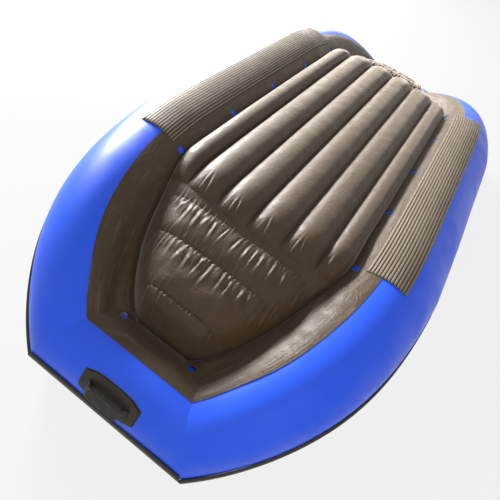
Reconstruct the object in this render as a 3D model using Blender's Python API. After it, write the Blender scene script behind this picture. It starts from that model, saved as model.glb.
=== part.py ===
"""Inflatable river raft lying bottom side up: tube skins, floor, wrap, pads, strake, handles and valves.

+X is one side of the raft, -Y the bow, +Z up as it lies. The origin is on the ground below its middle.
The raft is the same fore and aft, and on both sides. Angles round a tube are in degrees from its crown,
positive towards the outside of the raft.
"""

import math

import bmesh
import bpy
from mathutils import Vector

# Ring of tubes, on its centre line
HALF_LENGTH = 1.480
HALF_WIDTH = 0.570
BOW_HALF_WIDTH = 0.270
SIDE_RADIUS = 0.226
BOW_RADIUS = 0.152
SIDE_LIFT = 0.130
TAPER_START = 0.600
SIDE_END = 0.950
SWEEP_POWER = 5.4
ROCKER_POWER = 6.0
TUBE_SIDES = 20
QUARTER_SHARES = (0.16, 0.32, 0.51, 0.74, 0.87)

# Sheet goods and the clearance between glued pieces
FABRIC = 0.0012
WRAP_FABRIC = 0.0015
GAP = 0.0003
SEAT = 0.0005
QUARTER_SEAT = 0.0021

# Bottom wrap: the dark sheet over the inner half of each tube, and its drain holes
WRAP_EDGE_SIDE = -12.0
WRAP_EDGE_QUARTER = -16.0
WRAP_EDGE_CORNER = 0.5
WRAP_EDGE_TURN = 1.120
WRAP_STEP = 9.0
WRAP_FLOOR_GAP = 0.004
WRAP_CELLS = 4
LEAST_SHARE = 0.03
DIAL_STEPS = 30
DRAIN_RADIUS = 0.012
DRAIN_PITCH = 0.390
DRAINS_A_SIDE = 5
DRAIN_ABOVE_FLOOR = 0.021
BOW_DRAIN_HALF = 0.150
BOW_DRAIN_ANGLE = -45.0

# Wear pads
PAD_HALF = 0.785
TWIST_END = 0.868
PAD_WIDTH = 0.165
PAD_CENTRE = -6.0
PAD_BASE = 0.0020
PAD_RIDGE = 0.0030
PAD_RIDGES = 13
RIDGE_SHARES = ((0.0, 0.0), (0.22, 1.0), (0.68, 1.0))

# Rub strake
STRAKE_WIDTH = 0.050
STRAKE_THICKNESS = 0.010
STRAKE_ANGLE = 95.0
STRAKE_SHARES = ((-1.0, 0.4), (-0.7, 1.0), (0.7, 1.0), (1.0, 0.4))

# Floor: six beams, then three cross panels at each end
FLOOR_EDGE_SIDE = -46.0
FLOOR_FOOT_SIDE = -78.0
FLOOR_EDGE_BOW = -63.5
FLOOR_FRONT_HALF = 0.108
FLOOR_DEPTH = 0.110
# Floor's edge from where the beams end to the bow: distance along as a share of the half length, how far in and
# how high it lies from the tube's centre line as shares of the tube's radius, the floor's depth, and where its foot is
FLOOR_END_SHARES = (
    (0.586, 0.809, 0.589, 0.87, 1.0),
    (0.642, 0.929, 0.500, 0.82, 1.0),
    (0.693, 1.023, 0.403, 0.79, 1.0),
    (0.743, 1.107, 0.308, 0.76, 1.0),
    (0.804, 1.239, 0.208, 0.75, 1.0),
    (0.865, 1.422, 0.096, 0.73, 1.0),
    (0.892, 1.549, 0.007, 0.71, 0.988),
)
FLOOR_FRONT_DEPTH_SHARE = 0.67
DECK_SEAM = 0.0036
BEAM_SHARE = 0.424
BEAM_RISE = 0.042
PANEL_RISE = 0.115
DECK_DROP = 0.030
DECK_PANEL_RISE = 0.050
BEAMS = 6
WALL_STEPS = 2
WEB = 0.0010
WEB_MARGIN = 0.006
CROSS_WEB_FOOT = 0.0012
CROSS_WEB_SEAT = 0.0018
CROSS_WEB_TRIM = 2.0
TOP_SHARES = ((0.0, 0.0), (0.15, 0.72), (0.5, 1.0), (0.85, 0.72))
DECK_SHARES = ((0.0, 0.0), (0.22, 1.0), (0.78, 1.0))
# One share for each cross line, from the middle of the raft to its bow
BEAM_FADE_SHARES = (1.0, 1.0, 0.94, 0.69, 0.0, 0.0, 0.0, 0.0, 0.0, 0.0, 0.0)
PANEL_SHARES = (0.02, 0.02, 0.13, 0.35, 0.44, 0.75, 0.68, 0.99, 0.97, 1.08, 0.0)
DECK_PANEL_SHARES = (0.02, 0.02, 0.13, 0.35, 0.44, 0.70, 0.60, 0.70, 0.55, 0.30, 0.0)
CROSS_SEAMS = (4, 6, 8)

# Baffles between the air chambers
BAFFLE_RIM = 0.030
BAFFLE_BULGE = 0.050

# Carrying handles at the bow and the stern
HANDLE_ANGLE = 56.0
HANDLE_HALF = 0.112
HANDLE_WIDTH = 0.094
HANDLE_SHARES = ((-1.0, 0.62), (-0.66, 0.92), (-0.25, 1.0), (0.25, 1.0), (0.66, 0.92), (1.0, 0.62))
HANDLE_BASE = 0.005
PATCH_BORDER = 0.004
GRIP_REACH = 0.074
GRIP_BEND = 0.018
GRIP_HEIGHT = 0.028
GRIP_THICKNESS = 0.011
GRIP_WIDTH = 0.034
GRIP_ROOT = 0.002

# Valves, one for each air chamber and one for the floor
VALVE_ALONG = 0.300
FLANGE_RADIUS = 0.030
FLANGE_THICKNESS = 0.0035
BARREL_RADIUS = 0.0185
BARREL_DEPTH = 0.030
BORE_RADIUS = 0.0150
NECK_RADIUS = 0.0225
NECK_HEIGHT = 0.0065
GUIDE_DEPTH = 0.0190
GUIDE_THICKNESS = 0.0030
PORT_RADIUS = 0.0125
STEM_RADIUS = 0.0030
BUTTON_RADIUS = 0.0070
BUTTON_THICKNESS = 0.0030
BUTTON_SINK = 0.0010
POPPET_RADIUS = 0.0160
POPPET_THICKNESS = 0.0030
RUNNING = 0.0004
CAP_SKIRT = 0.0025
CAP_TOP = 0.0035
CAP_GRIP_HEIGHT = 0.0060
CAP_GRIP_WIDTH = 0.0080
SPRING_WIRE = 0.0012
SPRING_RADIUS = 0.0052
SPRING_TURNS = 3
VALVE_SIDES = 16
STEM_SIDES = 10
CURL_POINTS = 8

COLOURS = {
    "blue_fabric": (0.033, 0.085, 0.640, 0.28),
    "dark_fabric": (0.070, 0.055, 0.042, 0.45),
    "pad_rubber": (0.085, 0.068, 0.050, 0.62),
    "black_rubber": (0.030, 0.025, 0.018, 0.60),
    "inner_fabric": (0.300, 0.300, 0.300, 0.60),
    "valve_plastic": (0.020, 0.020, 0.022, 0.45),
    "spring_steel": (0.600, 0.600, 0.600, 0.30),
}


def material(kind, name):
    red, green, blue, roughness = COLOURS[kind]
    made = bpy.data.materials.new(f"{name}_{kind}")
    made.use_nodes = True
    shader = made.node_tree.nodes["Principled BSDF"]
    shader.inputs["Base Color"].default_value = (red, green, blue, 1)
    shader.inputs["Roughness"].default_value = roughness
    shader.inputs["Metallic"].default_value = 1.0 if kind == "spring_steel" else 0.0
    made.diffuse_color = (red, green, blue, 1)
    return made


def add_object(name, points, faces, kind):
    """A mesh object with its own material, shaded smooth but for its sharp edges."""
    mesh = bpy.data.meshes.new(name)
    mesh.from_pydata([tuple(point) for point in points], [], faces)
    mesh.update()
    mesh.shade_smooth()
    mesh.set_sharp_from_angle(angle=math.radians(35))
    made = bpy.data.objects.new(name, mesh)
    made.data.materials.append(material(kind, name))
    bpy.context.scene.collection.objects.link(made)
    return made


def grid_faces(rows, columns, closed=False, flip=False):
    """Triangles over a grid of points, all cut along the same diagonal."""
    faces = []
    for i in range(rows - 1):
        for j in range(columns if closed else columns - 1):
            after = (j + 1) % columns
            a, b = i * columns + j, i * columns + after
            c, d = (i + 1) * columns + after, (i + 1) * columns + j
            faces += [(a, b, c), (a, c, d)]
    return [face[::-1] for face in faces] if flip else faces


def outward_faces(thing):
    """Turns all faces of a closed body out, and cuts its large caps into triangles."""
    form = bmesh.new()
    form.from_mesh(thing.data)
    bmesh.ops.triangulate(form, faces=[face for face in form.faces if len(face.verts) > 4])
    bmesh.ops.recalc_face_normals(form, faces=form.faces)
    form.to_mesh(thing.data)
    form.free()


def thick_sheet(name, front, back, faces, kind):
    """A sheet with a front and a back point for each corner, closed along its free edges."""
    count = len(front)
    edges = {(face[side - 1], face[side]) for face in faces for side in range(3)}
    closed = list(faces) + [tuple(corner + count for corner in face[::-1]) for face in faces]
    for a, b in sorted(edges):
        if (b, a) not in edges:
            closed += [(b, a, a + count), (b, a + count, b + count)]
    made = add_object(name, front + back, closed, kind)
    outward_faces(made)
    return made


def layer(name, front, back, kind, closed=False):
    """A sheet of fabric between two sets of rows of points."""
    faces = grid_faces(len(front), len(front[0]), closed)
    return thick_sheet(name, sum(front, []), sum(back, []), faces, kind)


def closed_body(name, loops, kind):
    """One closed body through loops of points, capped at both ends, with its faces out."""
    count = len(loops[0])
    points = [point for loop in loops for point in loop]
    faces = grid_faces(len(loops), count, closed=True)
    last = (len(loops) - 1) * count
    faces += [tuple(range(count))[::-1], tuple(range(last, last + count))]
    made = add_object(name, points, faces, kind)
    outward_faces(made)
    return made


def cut(thing, cutter, operation="DIFFERENCE"):
    """Cuts a hidden cutter out of a piece, or joins it on."""
    cutter.hide_render = True
    cutter.display_type = "WIRE"
    boolean = thing.modifiers.new(operation.lower(), "BOOLEAN")
    boolean.object = cutter
    boolean.operation = operation
    boolean.solver = "EXACT"


def drill(name, place, direction, radius, reach, sides):
    """A round cutter through a place, along a direction."""
    form = bmesh.new()
    bmesh.ops.create_cone(form, cap_ends=True, segments=sides, radius1=radius, radius2=radius, depth=reach)
    mesh = bpy.data.meshes.new(name)
    form.to_mesh(mesh)
    form.free()
    made = bpy.data.objects.new(name, mesh)
    made.location = place
    made.rotation_mode = "QUATERNION"
    made.rotation_quaternion = Vector((0, 0, 1)).rotation_difference(direction)
    bpy.context.scene.collection.objects.link(made)
    return made


# The ring of tubes

def side_line():
    """Distances from the middle to the bow where the ring has its cross lines."""
    quarter = [SIDE_END + share * (HALF_LENGTH - SIDE_END) for share in QUARTER_SHARES]
    return [0, TAPER_START, PAD_HALF, (PAD_HALF + SIDE_END) / 2, SIDE_END, *quarter, HALF_LENGTH]


def tube_radius(along):
    share = (abs(along) - TAPER_START) / (HALF_LENGTH - TAPER_START)
    return SIDE_RADIUS - (SIDE_RADIUS - BOW_RADIUS) * min(max(share, 0), 1)


def tube_centre(along):
    """The centre line on the +X side, at a distance along the raft."""
    share = abs(along) / HALF_LENGTH
    low = BOW_RADIUS * math.cos(math.pi / TUBE_SIDES)
    high = SIDE_RADIUS + SIDE_LIFT
    x = HALF_WIDTH - (HALF_WIDTH - BOW_HALF_WIDTH) * share**SWEEP_POWER
    return Vector((x, along, high - (high - low) * share**ROCKER_POWER))


class Ring:
    """A cross line of the ring of tubes: its centre, its outward and upward directions and its radius."""

    def __init__(self, centre, outward, upward, radius):
        self.centre, self.outward, self.upward, self.radius = centre, outward, upward, radius

    def at(self, angle, lift=0.0):
        turn = math.radians(angle)
        reach = self.radius + lift
        return self.centre + self.outward * (reach * math.sin(turn)) + self.upward * (reach * math.cos(turn))

    def at_arc(self, angle, arc, lift):
        """A point at a distance along the tube's surface from an angle."""
        return self.at(angle + math.degrees(arc / self.radius), lift)

    def towards(self, other, share):
        """The cross line on the straight stretch between this one and another."""
        return Ring(
            self.centre.lerp(other.centre, share),
            self.outward.lerp(other.outward, share),
            self.upward.lerp(other.upward, share),
            self.radius + (other.radius - self.radius) * share,
        )


def stretch_frame(start, end):
    """The direction of a straight stretch, with its outward and upward directions."""
    along = (end - start).normalized()
    outward = Vector((along.y, -along.x, 0)).normalized()
    return along, outward, outward.cross(along)


def crosswise(end, x):
    """A cross line of the straight tube at the bow (-1) or the stern (1)."""
    low = tube_centre(HALF_LENGTH).z
    return Ring(Vector((x, end * HALF_LENGTH, low)), Vector((0, end, 0)), Vector((0, 0, 1)), BOW_RADIUS)


def make_rings():
    """All cross lines in order, from the bow along +X to the stern and back along -X.

    At the corners they lie in the mitre between the straight tube and the quarter.
    """
    half = side_line()
    right = [tube_centre(-along) for along in reversed(half)] + [tube_centre(along) for along in half[1:]]
    loop = right + [Vector((-point.x, point.y, point.z)) for point in reversed(right)]
    total = len(loop)
    frames = [stretch_frame(loop[here], loop[(here + 1) % total]) for here in range(total)]
    normals = [(frames[here - 1][0] + frames[here][0]).normalized() for here in range(total)]
    rings = []
    for here, centre in enumerate(loop):
        meeting = [frames[here - 1], frames[here]]
        meeting = [frame for frame in meeting if frame[0].y == 0] or meeting
        axes = []
        for which in (1, 2):
            mitred = [
                frame[which] - frame[0] * (frame[which].dot(normals[here]) / frame[0].dot(normals[here]))
                for frame in meeting
            ]
            axes.append(sum(mitred, Vector()) / len(mitred))
        rings.append(Ring(centre, axes[0], axes[1], tube_radius(centre.y)))
    return rings


RINGS = make_rings()
HALF_COUNT = len(side_line())
# Places in the list of rings, on the +X side: the corners, the side seams and the middle
BOW_CORNER = 0
BOW_SEAM = BOW_CORNER + len(QUARTER_SHARES) + 1
MIDDLE = BOW_CORNER + HALF_COUNT - 1
STERN_SEAM = 2 * MIDDLE - BOW_SEAM
STERN_CORNER = 2 * MIDDLE - BOW_CORNER
RIGHT_COUNT = STERN_CORNER + 1


def ring(place):
    return RINGS[place % len(RINGS)]


def opposite(place):
    """The place of the same cross line on the -X side."""
    return 2 * RIGHT_COUNT - 1 - place


def inset_rings(start, stop, inset):
    """The rings from start to stop, the first and last moved in a little to leave a gap to their neighbours."""
    rings = [ring(place) for place in range(start, stop + 1)]
    first, last = rings[0], rings[-1]
    first_share = inset / (rings[1].centre - first.centre).length
    last_share = inset / (rings[-2].centre - last.centre).length
    return [first.towards(rings[1], first_share), *rings[1:-1], last.towards(rings[-2], last_share)]


def skin_angles():
    step = 360 / TUBE_SIDES
    return [step * (side + 0.5) for side in range(TUBE_SIDES)]


def tube_skin(name, start, stop):
    """One panel of the inflated tube: a hollow skin, open at both ends where it joins the next."""
    rings = inset_rings(start, stop, GAP / 2)
    front = [[here.at(angle) for angle in skin_angles()] for here in rings]
    back = [[here.at(angle, -FABRIC) for angle in skin_angles()] for here in rings]
    return layer(name, front, back, "blue_fabric", closed=True)


def baffle(name, front, back):
    """A fabric wall across the tube, bulging into one chamber, with a rim glued to the skin."""
    bulge = (front.centre - back.centre).normalized() * BAFFLE_BULGE
    faces = [(0, 1 + side, 1 + (side + 1) % TUBE_SIDES) for side in range(TUBE_SIDES)]
    faces += [tuple(1 + corner for corner in face) for face in grid_faces(2, TUBE_SIDES, closed=True, flip=True)]
    sides = []
    for depth in (FABRIC + GAP, 2 * FABRIC + GAP):
        tip = front.centre + bulge.normalized() * (bulge.length + FABRIC + GAP - depth)
        sides.append([tip] + [here.at(angle, -depth) for here in (front, back) for angle in skin_angles()])
    return thick_sheet(name, sides[0], sides[1], faces, "inner_fabric")


# What is laid on the tubes

def ease(here, start, stop):
    """0 up to one distance along the raft, rising smoothly to 1 at another."""
    share = min(max((abs(here.centre.y) - start) / (stop - start), 0), 1)
    return share * share * (3 - 2 * share)


def round_lift(here, step):
    """How far a sheet with a point every few degrees stands off, so that it clears the tube's own facets.

    The quarters' facets are twisted, so it stands off further there.
    """
    crosswise_tube = here.outward.x == 0
    twist = 0 if crosswise_tube else ease(here, PAD_HALF, TWIST_END)
    return SEAT + QUARTER_SEAT * twist + here.radius * (1 - math.cos(math.radians(step / 2)))


def clear_of_tubes(point, lift):
    """Moves a point straight away from the tubes' centre line, if it is nearer to it than the skin and a lift."""
    for first, second in zip(RINGS, RINGS[1:] + RINGS[:1]):
        span = second.centre - first.centre
        share = min(max((point - first.centre).dot(span) / span.length_squared, 0), 1)
        nearest = first.centre + span * share
        reach = first.radius + (second.radius - first.radius) * share + lift
        away = point - nearest
        if away.length < reach:
            point = nearest + away.normalized() * reach
    return point


def floor_outline():
    """The floor's upper edge and its foot on the +X side, row by row from the bow to the stern."""
    rows = []
    for along in (0, TAPER_START, PAD_HALF):
        here = ring_along(1, along)
        lift = round_lift(here, WRAP_STEP)
        rows.append((here.at(FLOOR_EDGE_SIDE, lift), here.at(FLOOR_FOOT_SIDE, lift)))
    for along_share, inward, level, depth_share, foot_share in FLOOR_END_SHARES:
        along = HALF_LENGTH * along_share
        centre, radius = tube_centre(along), tube_radius(along)
        edge = Vector((centre.x - radius * inward, along, centre.z + radius * level))
        rows.append((edge, Vector((edge.x, along * foot_share, edge.z - FLOOR_DEPTH * depth_share))))
    front = crosswise(1, FLOOR_FRONT_HALF).at(FLOOR_EDGE_BOW, round_lift(crosswise(1, 0), WRAP_STEP))
    rows.append((front, front - Vector((0, 0, FLOOR_DEPTH * FLOOR_FRONT_DEPTH_SHARE))))
    lift = SEAT + QUARTER_SEAT
    ends = [(clear_of_tubes(edge, lift), clear_of_tubes(foot, lift)) for edge, foot in rows[3:]]
    half = rows[:3] + ends
    mirrored = [tuple(Vector((point.x, -point.y, point.z)) for point in row) for row in half[1:]]
    return mirrored[::-1] + half


def floor_outward(edges):
    """The level direction out of the floor at each row of its edge."""
    found = []
    for here, edge in enumerate(edges):
        along = edges[min(here + 1, len(edges) - 1)] - edges[max(here - 1, 0)]
        way = Vector((along.y, -along.x, 0)).normalized()
        if here in (0, len(edges) - 1):
            way = (way + Vector((0, math.copysign(1, edge.y), 0))).normalized()
        found.append(way)
    return found


def crevice(here):
    """Where the plane of a cross line meets the floor's edge, as distances outward and upward from the centre."""
    right = [edge for edge, _ in FLOOR_OUTLINE]
    line = right + [Vector((-edge.x, edge.y, edge.z)) for edge in reversed(right)]
    level = here.outward.cross(here.upward)
    hits = []
    for first, second in zip(line, line[1:] + line[:1]):
        before, after = (first - here.centre).dot(level), (second - here.centre).dot(level)
        if before * after <= 0 and before != after:
            hits.append(first.lerp(second, before / (before - after)) - here.centre)
    off = min(hits, key=lambda hit: hit.length)
    # The two directions may lean on each other, so both are solved for together
    oo, ou, uu = here.outward.dot(here.outward), here.outward.dot(here.upward), here.upward.dot(here.upward)
    po, pu = off.dot(here.outward), off.dot(here.upward)
    whole = oo * uu - ou * ou
    return (po * uu - pu * ou) / whole, (pu * oo - po * ou) / whole


def wrap_edge(place):
    if place % len(RINGS) in (BOW_CORNER, STERN_CORNER, opposite(STERN_CORNER), opposite(BOW_CORNER)):
        return WRAP_EDGE_CORNER
    share = ease(ring(place), PAD_HALF, WRAP_EDGE_TURN)
    return WRAP_EDGE_SIDE + (WRAP_EDGE_QUARTER - WRAP_EDGE_SIDE) * share


def knot_shares(first, second):
    """How far along from one cross line to the next the cross lines lie that meet the floor's own corners."""
    right = [edge for edge, _ in FLOOR_OUTLINE]
    shares = []
    for knot in right + [Vector((-edge.x, edge.y, edge.z)) for edge in right]:
        low, high = 0.0, 1.0
        sides = [side_of(first.towards(second, share), knot) for share in (low, high)]
        near = first.towards(second, 1 / 2)
        if sides[0] * sides[1] >= 0 or (knot - near.centre).length > HALF_WIDTH:
            continue
        for _ in range(DIAL_STEPS):
            middle = (low + high) / 2
            if side_of(first.towards(second, middle), knot) * sides[0] > 0:
                low = middle
            else:
                high = middle
        if LEAST_SHARE < low < 1 - LEAST_SHARE:
            shares.append(low)
    return shares


def side_of(here, point):
    return (point - here.centre).dot(here.outward.cross(here.upward))


def wrap_foot(here, lift):
    """Where the wrap starts at the floor, in the plane of a cross line, and the angle at which it meets the tube."""
    reach = here.radius + lift
    out, up = crevice(here)
    far = math.hypot(out, up)
    angle = math.degrees(math.atan2(out, up))
    if far < reach + WRAP_FLOOR_GAP / 2:
        low = angle + math.degrees(WRAP_FLOOR_GAP / reach)
        turn = math.radians(low)
        return Vector((math.sin(turn), math.cos(turn))) * reach, low + WRAP_STEP
    leave = max(angle + math.degrees(math.acos(reach / far)), angle + WRAP_STEP)
    turn = math.radians(leave)
    foot = Vector((out, up))
    start = Vector((math.sin(turn), math.cos(turn))) * reach
    return foot + (start - foot).normalized() * WRAP_FLOOR_GAP, leave


def wrap_lines(start, stop):
    """The wrap's cross lines with their outer angles, closer together where its edges turn."""
    rings = inset_rings(start, stop, GAP / 2)
    lines = [(here, wrap_edge(place)) for here, place in zip(rings, range(start, stop + 1))]
    knotted = lines[:1]
    for (here, high), (after, next_high) in zip(lines[:-1], lines[1:]):
        for share in sorted([*knot_shares(here, after), 1.0]):
            knotted.append((here.towards(after, share), high + (next_high - high) * share))
    full = knotted[:1]
    for (here, high), (after, next_high) in zip(knotted[:-1], knotted[1:]):
        leaves = [wrap_foot(line, round_lift(line, WRAP_STEP))[1] for line in (here, after)]
        steps = math.ceil(max(abs(next_high - high), abs(leaves[1] - leaves[0]), WRAP_STEP) / WRAP_STEP)
        for step in range(1, steps + 1):
            full.append((here.towards(after, step / steps), high + (next_high - high) * step / steps))
    return full


def wrap_section(here, high, lift, thickness, cells):
    """Points across the wrap, from the floor's edge straight to where it meets the tube and round it to its cut edge."""
    foot, leave = wrap_foot(here, lift)
    turn = math.radians(leave)
    way = (Vector((math.sin(turn), math.cos(turn))) * (here.radius + lift) - foot).normalized()
    foot = foot + Vector((-way.y, way.x)) * thickness
    points = [here.centre + here.outward * foot.x + here.upward * foot.y]
    for cell in range(cells + 1):
        points.append(here.at(leave + (high - leave) * cell / cells, lift + thickness))
    return points


def bottom_wrap(name, start, stop):
    """The dark sheet from its cut edge near the crown down to the floor."""
    front, back = [], []
    for here, high in wrap_lines(start, stop):
        lift = round_lift(here, WRAP_STEP)
        back.append(wrap_section(here, high, lift, 0, WRAP_CELLS))
        front.append(wrap_section(here, high, lift, WRAP_FABRIC, WRAP_CELLS))
    return layer(name, front, back, "dark_fabric")


def ring_along(side, along):
    """The cross line of the side at a distance along the raft, on the straight stretch that holds it."""
    for place in range(BOW_CORNER, STERN_CORNER):
        first, second = ring(place), ring(place + 1)
        if first.centre.y <= along <= second.centre.y:
            share = (along - first.centre.y) / (second.centre.y - first.centre.y)
            if side > 0:
                return first.towards(second, share)
            return ring(opposite(place)).towards(ring(opposite(place + 1)), share)
    raise ValueError("beyond the ends of the side")


FLOOR_OUTLINE = floor_outline()
FLOOR_MIDDLE = len(FLOOR_OUTLINE) // 2


def drain(wrap, name, here, angle):
    """A drain hole through the wrap, which shows the tube behind."""
    place = here.at(angle)
    reach = 4 * DRAIN_RADIUS
    cut(wrap, drill(f"{name}_cutter", place, place - here.centre, DRAIN_RADIUS, reach, CURL_POINTS + 4))


def side_drains(wrap, side):
    for number in range(DRAINS_A_SIDE):
        along = DRAIN_PITCH * (number - (DRAINS_A_SIDE - 1) / 2)
        here = ring_along(side, along)
        angle = FLOOR_EDGE_SIDE + math.degrees(DRAIN_ABOVE_FLOOR / here.radius)
        drain(wrap, f"{wrap.name}_drain_{number}", here, angle)


def end_drains(wrap, end):
    for number, side in enumerate((-1, 1)):
        drain(wrap, f"{wrap.name}_drain_{number}", crosswise(end, side * BOW_DRAIN_HALF), BOW_DRAIN_ANGLE)


def pad_outline(here):
    """The ridged top and the stepped underside, which lies partly on the wrap: distances along and above the tube."""
    half = PAD_WIDTH / 2
    step = PAD_WIDTH / PAD_RIDGES
    on_tube = round_lift(here, WRAP_STEP)
    on_wrap = on_tube + WRAP_FABRIC + SEAT
    base = on_wrap + PAD_BASE
    top = []
    for ridge in range(PAD_RIDGES):
        top += [(-half + step * (ridge + across), base + PAD_RIDGE * high) for across, high in RIDGE_SHARES]
    top.append((half, base))
    edge = math.radians(WRAP_EDGE_SIDE - PAD_CENTRE) * here.radius + WRAP_FABRIC + SEAT
    under = [(half - (half - edge) * part, on_tube) for part in (0, 1 / 3, 2 / 3, 1)]
    under += [(edge - (edge + half) * part, on_wrap) for part in (0, 1 / 3, 2 / 3, 1)]
    return top + under


def wear_pad(name, places):
    loops = []
    for place in places:
        here = ring(place)
        loops.append([here.at_arc(PAD_CENTRE, along, lift) for along, lift in pad_outline(here)])
    return closed_body(name, loops, "pad_rubber")


def rub_strake(name, start, stop):
    """A ridge of rubber round the outside of the raft."""
    half = STRAKE_WIDTH / 2
    loops = []
    for here in inset_rings(start, stop, GAP):
        under = round_lift(here, math.degrees(half / here.radius))
        outline = [(half * across, under + STRAKE_THICKNESS * high) for across, high in STRAKE_SHARES]
        outline += [(half, under), (0, under), (-half, under)]
        loops.append([here.at_arc(STRAKE_ANGLE, along, lift) for along, lift in outline])
    return closed_body(name, loops, "black_rubber")


# The inflated floor

def beam_pitch():
    return BEAM_SHARE * FLOOR_OUTLINE[FLOOR_MIDDLE][1].x


def beam_columns(shares, width, scale):
    """Places across one row, as (distance from the middle, share of the beam's rise)."""
    inner = BEAMS // 2 - 1
    valleys = [beam_pitch() * number * scale for number in range(-inner, inner + 1)]
    stops = [-width, *valleys, width]
    columns = []
    for low, high in zip(stops[:-1], stops[1:]):
        columns += [(low + (high - low) * across, rise) for across, rise in shares]
    return columns + [(width, 0.0)]


class FloorSheet:
    """The form of the floor's underside or deck, row by row. The rows are counted from the bow."""

    def __init__(self, edges, shares, beam_rise, panel_rise, panel_shares):
        self.edges, self.shares = edges, shares
        self.beam_rise, self.panel_rise, self.panel_shares = beam_rise, panel_rise, panel_shares
        self.rows = list(range(len(edges)))
        self.beam_width = edges[FLOOR_MIDDLE + CROSS_SEAMS[0]].x

    def row(self, which):
        edge = self.edges[which]
        number = abs(which - FLOOR_MIDDLE)
        scale = 1 if number <= CROSS_SEAMS[0] else edge.x / self.beam_width
        points = []
        for x, rise in beam_columns(self.shares, edge.x, scale):
            panel = self.panel_rise * self.panel_shares[number] * (1 - (x / edge.x) ** 4)
            beam = self.beam_rise * BEAM_FADE_SHARES[number] * rise
            points.append(Vector((x, edge.y, edge.z + beam + panel)))
        return points

    def height(self, which, x):
        """The sheet's level on a row at a distance from the middle."""
        points = self.row(which)
        for low, high in zip(points[:-1], points[1:]):
            if low.x <= x <= high.x:
                share = (x - low.x) / (high.x - low.x)
                return low.z + (high.z - low.z) * share
        raise ValueError("outside the floor")


def floor_border(rows, columns):
    """Once round the deck: along the bow, up the +X side, back along the stern and down the -X side."""
    border = [(0, column) for column in range(columns)]
    border += [(row, columns - 1) for row in range(1, rows)]
    border += [(rows - 1, column) for column in range(columns - 2, -1, -1)]
    return border + [(row, 0) for row in range(rows - 2, 0, -1)]


def wall_point(row, share, part, ways):
    """A point of the wall on a row, a share of the way across and a part of the way up, with the way outward."""
    edge, foot = FLOOR_OUTLINE[row]
    point = foot.lerp(edge, part)
    point.x *= share
    outward = Vector((ways[row].x * share, ways[row].y, 0))
    if abs(share) < 1:
        outward = Vector((0, math.copysign(1, edge.y), 0))
    return clear_of_tubes(point, SEAT + QUARTER_SEAT), outward


def deck_and_wall(name, deck):
    """The cockpit side of the floor with the wall that stands against the tubes, as one sheet."""
    rows = [deck.row(row) for row in deck.rows]
    columns = len(rows[0])
    front = sum(rows, [])
    back = [point + Vector((0, 0, FABRIC)) for point in front]
    faces = grid_faces(len(rows), columns, flip=True)
    border = floor_border(len(rows), columns)
    shares = [rows[row][column].x / rows[row][-1].x for row, column in border]
    ways = floor_outward([edge for edge, _ in FLOOR_OUTLINE])
    loops = [[row * columns + column for row, column in border]]
    for index, (row, _), share in zip(loops[0], border, shares):
        back[index] = front[index] + Vector((0, 0, DECK_SEAM)) - wall_point(row, share, 0, ways)[1] * FABRIC
    for step in range(1, WALL_STEPS + 1):
        loops.append(range(len(front), len(front) + len(border)))
        for (row, _), share in zip(border, shares):
            point, outward = wall_point(row, share, step / WALL_STEPS, ways)
            front.append(point)
            back.append(point - outward * FABRIC)
    for lower, upper in zip(loops[:-1], loops[1:]):
        for here in range(len(border)):
            after = (here + 1) % len(border)
            faces += [(lower[here], lower[after], upper[after]), (lower[here], upper[after], upper[here])]
    return thick_sheet(name, front, back, faces, "dark_fabric")


def grid_normals(rows):
    """The direction square to a grid of points at each of them, upward."""
    last_row, last_column = len(rows) - 1, len(rows[0]) - 1
    ways = []
    for i, row in enumerate(rows):
        ways.append([])
        for j in range(len(row)):
            along = rows[min(i + 1, last_row)][j] - rows[max(i - 1, 0)][j]
            across = row[min(j + 1, last_column)] - row[max(j - 1, 0)]
            ways[-1].append(across.cross(along).normalized())
    return ways


def underside(name, top):
    """The wet side of the floor, which lies uppermost here."""
    front = [[point + Vector((0, 0, SEAT + FABRIC)) for point in top.row(row)] for row in top.rows]
    ways = grid_normals(front)
    back = [[point - way * FABRIC for point, way in zip(*pair)] for pair in zip(front, ways)]
    return layer(name, front, back, "dark_fabric")


def web(name, rows, across):
    """A fabric wall inside the floor, through pairs of points on the deck and under the top."""
    front = [[low + across, high + across] for low, high in rows]
    back = [[low - across, high - across] for low, high in rows]
    return layer(name, front, back, "inner_fabric")


def web_pair(x, row, top, deck, foot, seat):
    low = Vector((x, deck.edges[row].y, deck.height(row, x) + FABRIC + foot))
    return low, Vector((x, top.edges[row].y, top.height(row, x) + SEAT - seat))


def long_web(name, number, top, deck):
    """A wall along one valley between two beams, which ends just short of the first cross walls."""
    first, last = FLOOR_MIDDLE - CROSS_SEAMS[0], FLOOR_MIDDLE + CROSS_SEAMS[0]
    rows = [web_pair(beam_pitch() * number, row, top, deck, SEAT, SEAT) for row in range(first, last + 1)]
    for row in (rows[0], rows[-1]):
        for point in row:
            point.y -= math.copysign(WEB / 2 + SEAT, point.y)
    return web(name, rows, Vector((WEB / 2, 0, 0)))


def cross_web(name, row, top, deck):
    """A wall across the floor under one of the puckered seams, trimmed lower where the floor is steep at its ends."""
    width = min(top.edges[row].x, deck.edges[row].x) - WEB_MARGIN
    pairs = []
    for x, _ in beam_columns(deck.shares, width, width / deck.beam_width):
        seat = CROSS_WEB_SEAT * (1 + CROSS_WEB_TRIM * (x / width) ** 4)
        pairs.append(web_pair(x, row, top, deck, CROSS_WEB_FOOT, seat))
    return web(name, pairs, Vector((0, WEB / 2, 0)))


# Handles

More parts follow.
